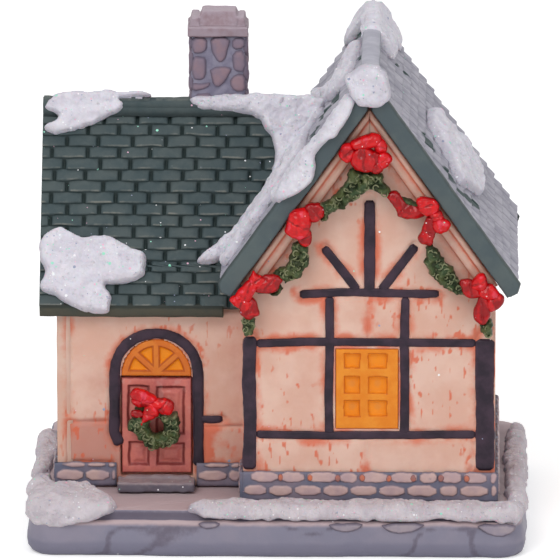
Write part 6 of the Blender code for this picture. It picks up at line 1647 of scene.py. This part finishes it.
def mossPatch(outline, seat, seed, rise):
    # a rough mossy lump on a wall, with curls of strand on it: several (verts, faces, masks)
    verts, faces, away = cushion(outline, onWall("front", seat), rise, seed=seed, **mossLook)
    flat = verts[:, (0, 2)]
    rough = lumps(flat, mossLook["lumpSize"], seed + 3, 3)
    strand = fade(0.13, 0.04, np.abs(lumps(flat, 0.95, seed + 7, 1)))
    masks = {"gap": np.clip(fade(0.05, -0.45, rough) + fade(0.35, 0.0, away) * 0.7, 0, 1),
             "worn": np.clip(strand * fade(-0.2, 0.25, rough) * 0.8, 0, 1)}
    parts = [(verts, faces, masks)]
    ring = np.array(outline)
    low, high = ring.min(0), ring.max(0)
    spots = low + chance.random((int((high - low).prod() * curlLook["share"] * 1.6) + 3, 2)) * (high - low)
    spots = spots[insideOutline(spots, ring)]
    for spot in spots[edgeDistance(spots, ring) > 0.35]:
        near = int(np.argmin(((flat[:len(flat) // 2] - spot) ** 2).sum(1)))
        turn = chance.random() * 6.3
        tube, tubeFaces = curlTube((spot[0], verts[near, 1] - 0.02, spot[1]),
                                   curlLook["radius"] * (0.6 + 0.7 * chance.random()), turn,
                                   2.2 + 2.5 * chance.random(), curlLook["tube"])
        worn = np.full(len(tube), 0.55 + 0.45 * chance.random())
        parts.append((tube, tubeFaces, {"gap": np.zeros(len(tube)), "worn": worn}))
    return parts


def makeGreenery():
    for index, (name, outlines) in enumerate(greenery.items()):
        seat, rise = (-14.1, 1.3) if name == "wreath" else (-22.3, 1.0)
        parts = []
        for order, outline in enumerate(outlines):
            parts += mossPatch(outline, seat, 800 + 10 * index + order, rise)
        verts, faces, masks = mergeMasked(parts)
        makePiece("moss_" + name, verts, faces, "garlandGreen", (name,), slotName="green", masks=masks)


def ribbonLobe(rise, dark, outline, seat, seed):
    # one lobe of a bow with a few folds running out from its middle
    ring = np.array(outline)
    middle = ring.mean(0)
    angle = chance.random() * math.pi
    foldDepth = 0.22

    def folds(flat):
        turned = (flat[:, 0] - middle[0]) * math.cos(angle) + (flat[:, 1] - middle[1]) * math.sin(angle)
        return -foldDepth * fade(0.22, 0.03, np.abs(turned + 0.25 * lumps(flat, 1.2, seed, 1)))

    fuller = middle + (ring - middle) * (1 + 0.35 / np.linalg.norm(ring - middle, axis=1, keepdims=True))
    verts, faces, away = cushion(fuller, onWall("front", seat), rise * 0.8, edge=0.7, spacing=0.16, lump=0.2,
                                 lumpSize=0.9, seed=seed, depth=0.5, crown=rise * 0.35, wobble=0.12, wobbleSize=0.9,
                                 extra=folds)
    flat = verts[:, (0, 2)]
    rough = lumps(flat, 0.9, seed + 3, 3)
    # the darker mask is painted shade: on the lobes that lie in shade, in the folds and low places, and at the edge;
    # the lighter one is a painted highlight on the bumps of the lit lobes
    gap = dark * 0.75 + 0.5 * fade(0.0, -0.35, rough) - 0.5 * folds(flat) / foldDepth + 0.3 * fade(0.25, 0.0, away)
    worn = (1 - dark) * fade(0.12, 0.5, rough) * fade(0.1, 0.4, away)
    return verts, faces, {"gap": np.clip(gap, 0, 1), "worn": np.clip(worn, 0, 1)}


def makeRibbons():
    for index, (name, lobes) in enumerate(ribbons.items()):
        seat = {"wreath_bow": -15.6, "red_swag": -22.4}.get(name, -23.2)
        verts, faces, masks = mergeMasked([
            ribbonLobe(rise, dark, outline, seat - 0.12 * (1 - dark), 900 + 10 * index + order)
            for order, (rise, dark, outline) in enumerate(lobes)])
        stands = () if name == "red_swag" else (name,)
        makePiece("ribbon_" + name, verts, faces, "bowRed", stands, slotName="red", masks=masks)


makeGreenery()
makeRibbons()
print("greenery and bows made")


# the light unit, kept as in the CAD

unitFinishes = {"light_housing": "mouldedWhite", "battery_door": "mouldedWhite", "switch_slider": "mouldedGrey",
                "led_bulb": "clearLens", "door_screw": "steel", "led_lead_negative": "steel",
                "led_lead_positive": "steel", "coin_cell": "steel", "cell_contact": "steel", "rim_contact": "steel"}


def finishUnit():
    for node, finish in unitFinishes.items():
        mesh = bpy.data.objects[node].data
        mesh.materials.clear()
        mesh.materials.append(made[finish])


finishUnit()
print("light unit finished")


# the room, the light and the camera

studio = {"floorSize": 3.0, "floorLift": 0.36, "azimuth": 1.2, "elevation": 14.0, "distance": 1.3347, "lens": 600.0,
          "aim": (0.0, 0.0, 0.0338), "worldStrength": 0.44,
          "lamps": (("keyLight", (-0.35, -0.65, 0.75), 0.55, 4.2), ("fillLight", (0.6, -0.6, 0.45), 0.6, 1.7),
                    ("topLight", (0.05, 0.15, 0.9), 0.5, 1.6))}


def seenRays(tree):
    # 1 where the camera sees a thing, straight or in a reflection or through glass, and 0 for its light on the house
    rays = tree.nodes.new("ShaderNodeLightPath")
    seen = doMath(tree, "MAXIMUM", rays.outputs["Is Camera Ray"], rays.outputs["Is Glossy Ray"])
    return doMath(tree, "MAXIMUM", seen, rays.outputs["Is Transmission Ray"])


def makeStudio():
    scene, half = bpy.context.scene, studio["floorSize"] / 2
    mesh = bpy.data.meshes.new("pale_floor")
    mesh.from_pydata([(-half, -half, 0), (half, -half, 0), (half, half, 0), (-half, half, 0)], [], [(0, 1, 2, 3)])
    floor = bpy.data.objects.new("pale_floor", mesh)
    addToScene(floor)
    finish = bpy.data.materials.new("pale_floor")
    finish.use_nodes = True
    tree = finish.node_tree
    shader = tree.nodes["Principled BSDF"]
    shader.inputs["Base Color"].default_value = (0.93, 0.93, 0.93, 1)
    shader.inputs["Roughness"].default_value = 0.7
    # the camera sees a paler floor than the one that lights the house, and still its shadow
    shader.inputs["Emission Color"].default_value = (1, 1, 1, 1)
    tree.links.new(doMath(tree, "MULTIPLY", seenRays(tree), studio["floorLift"]), shader.inputs["Emission Strength"])
    mesh.materials.append(finish)
    scene.world = bpy.data.worlds.new("studio")
    scene.world.use_nodes = True
    tree = scene.world.node_tree
    back = tree.nodes["Background"]
    back.inputs["Color"].default_value = (1, 1, 1, 1)
    lift = doMath(tree, "MULTIPLY", seenRays(tree), 1.0 - studio["worldStrength"])
    tree.links.new(doMath(tree, "ADD", lift, studio["worldStrength"]), back.inputs["Strength"])
    for name, spot, size, watts in studio["lamps"]:
        light = bpy.data.lights.new(name, "AREA")
        light.size, light.energy = size, watts
        lamp = bpy.data.objects.new(name, light)
        lamp.location = spot
        lamp.rotation_euler = (Vector((0, 0, 0.03)) - Vector(spot)).to_track_quat("-Z", "Y").to_euler()
        addToScene(lamp)
    camera = bpy.data.objects.new("camera", bpy.data.cameras.new("camera"))
    a, e = math.radians(studio["azimuth"]), math.radians(studio["elevation"])
    outward = Vector((math.sin(a) * math.cos(e), -math.cos(a) * math.cos(e), math.sin(e)))
    camera.location = Vector(studio["aim"]) + outward * studio["distance"]
    camera.rotation_euler = outward.to_track_quat("Z", "Y").to_euler()
    camera.data.lens, camera.data.sensor_width, camera.data.clip_end = studio["lens"], 36.0, 10.0
    addToScene(camera)
    scene.camera = camera
    scene.view_settings.view_transform = "Standard"


makeStudio()
print("studio ready")
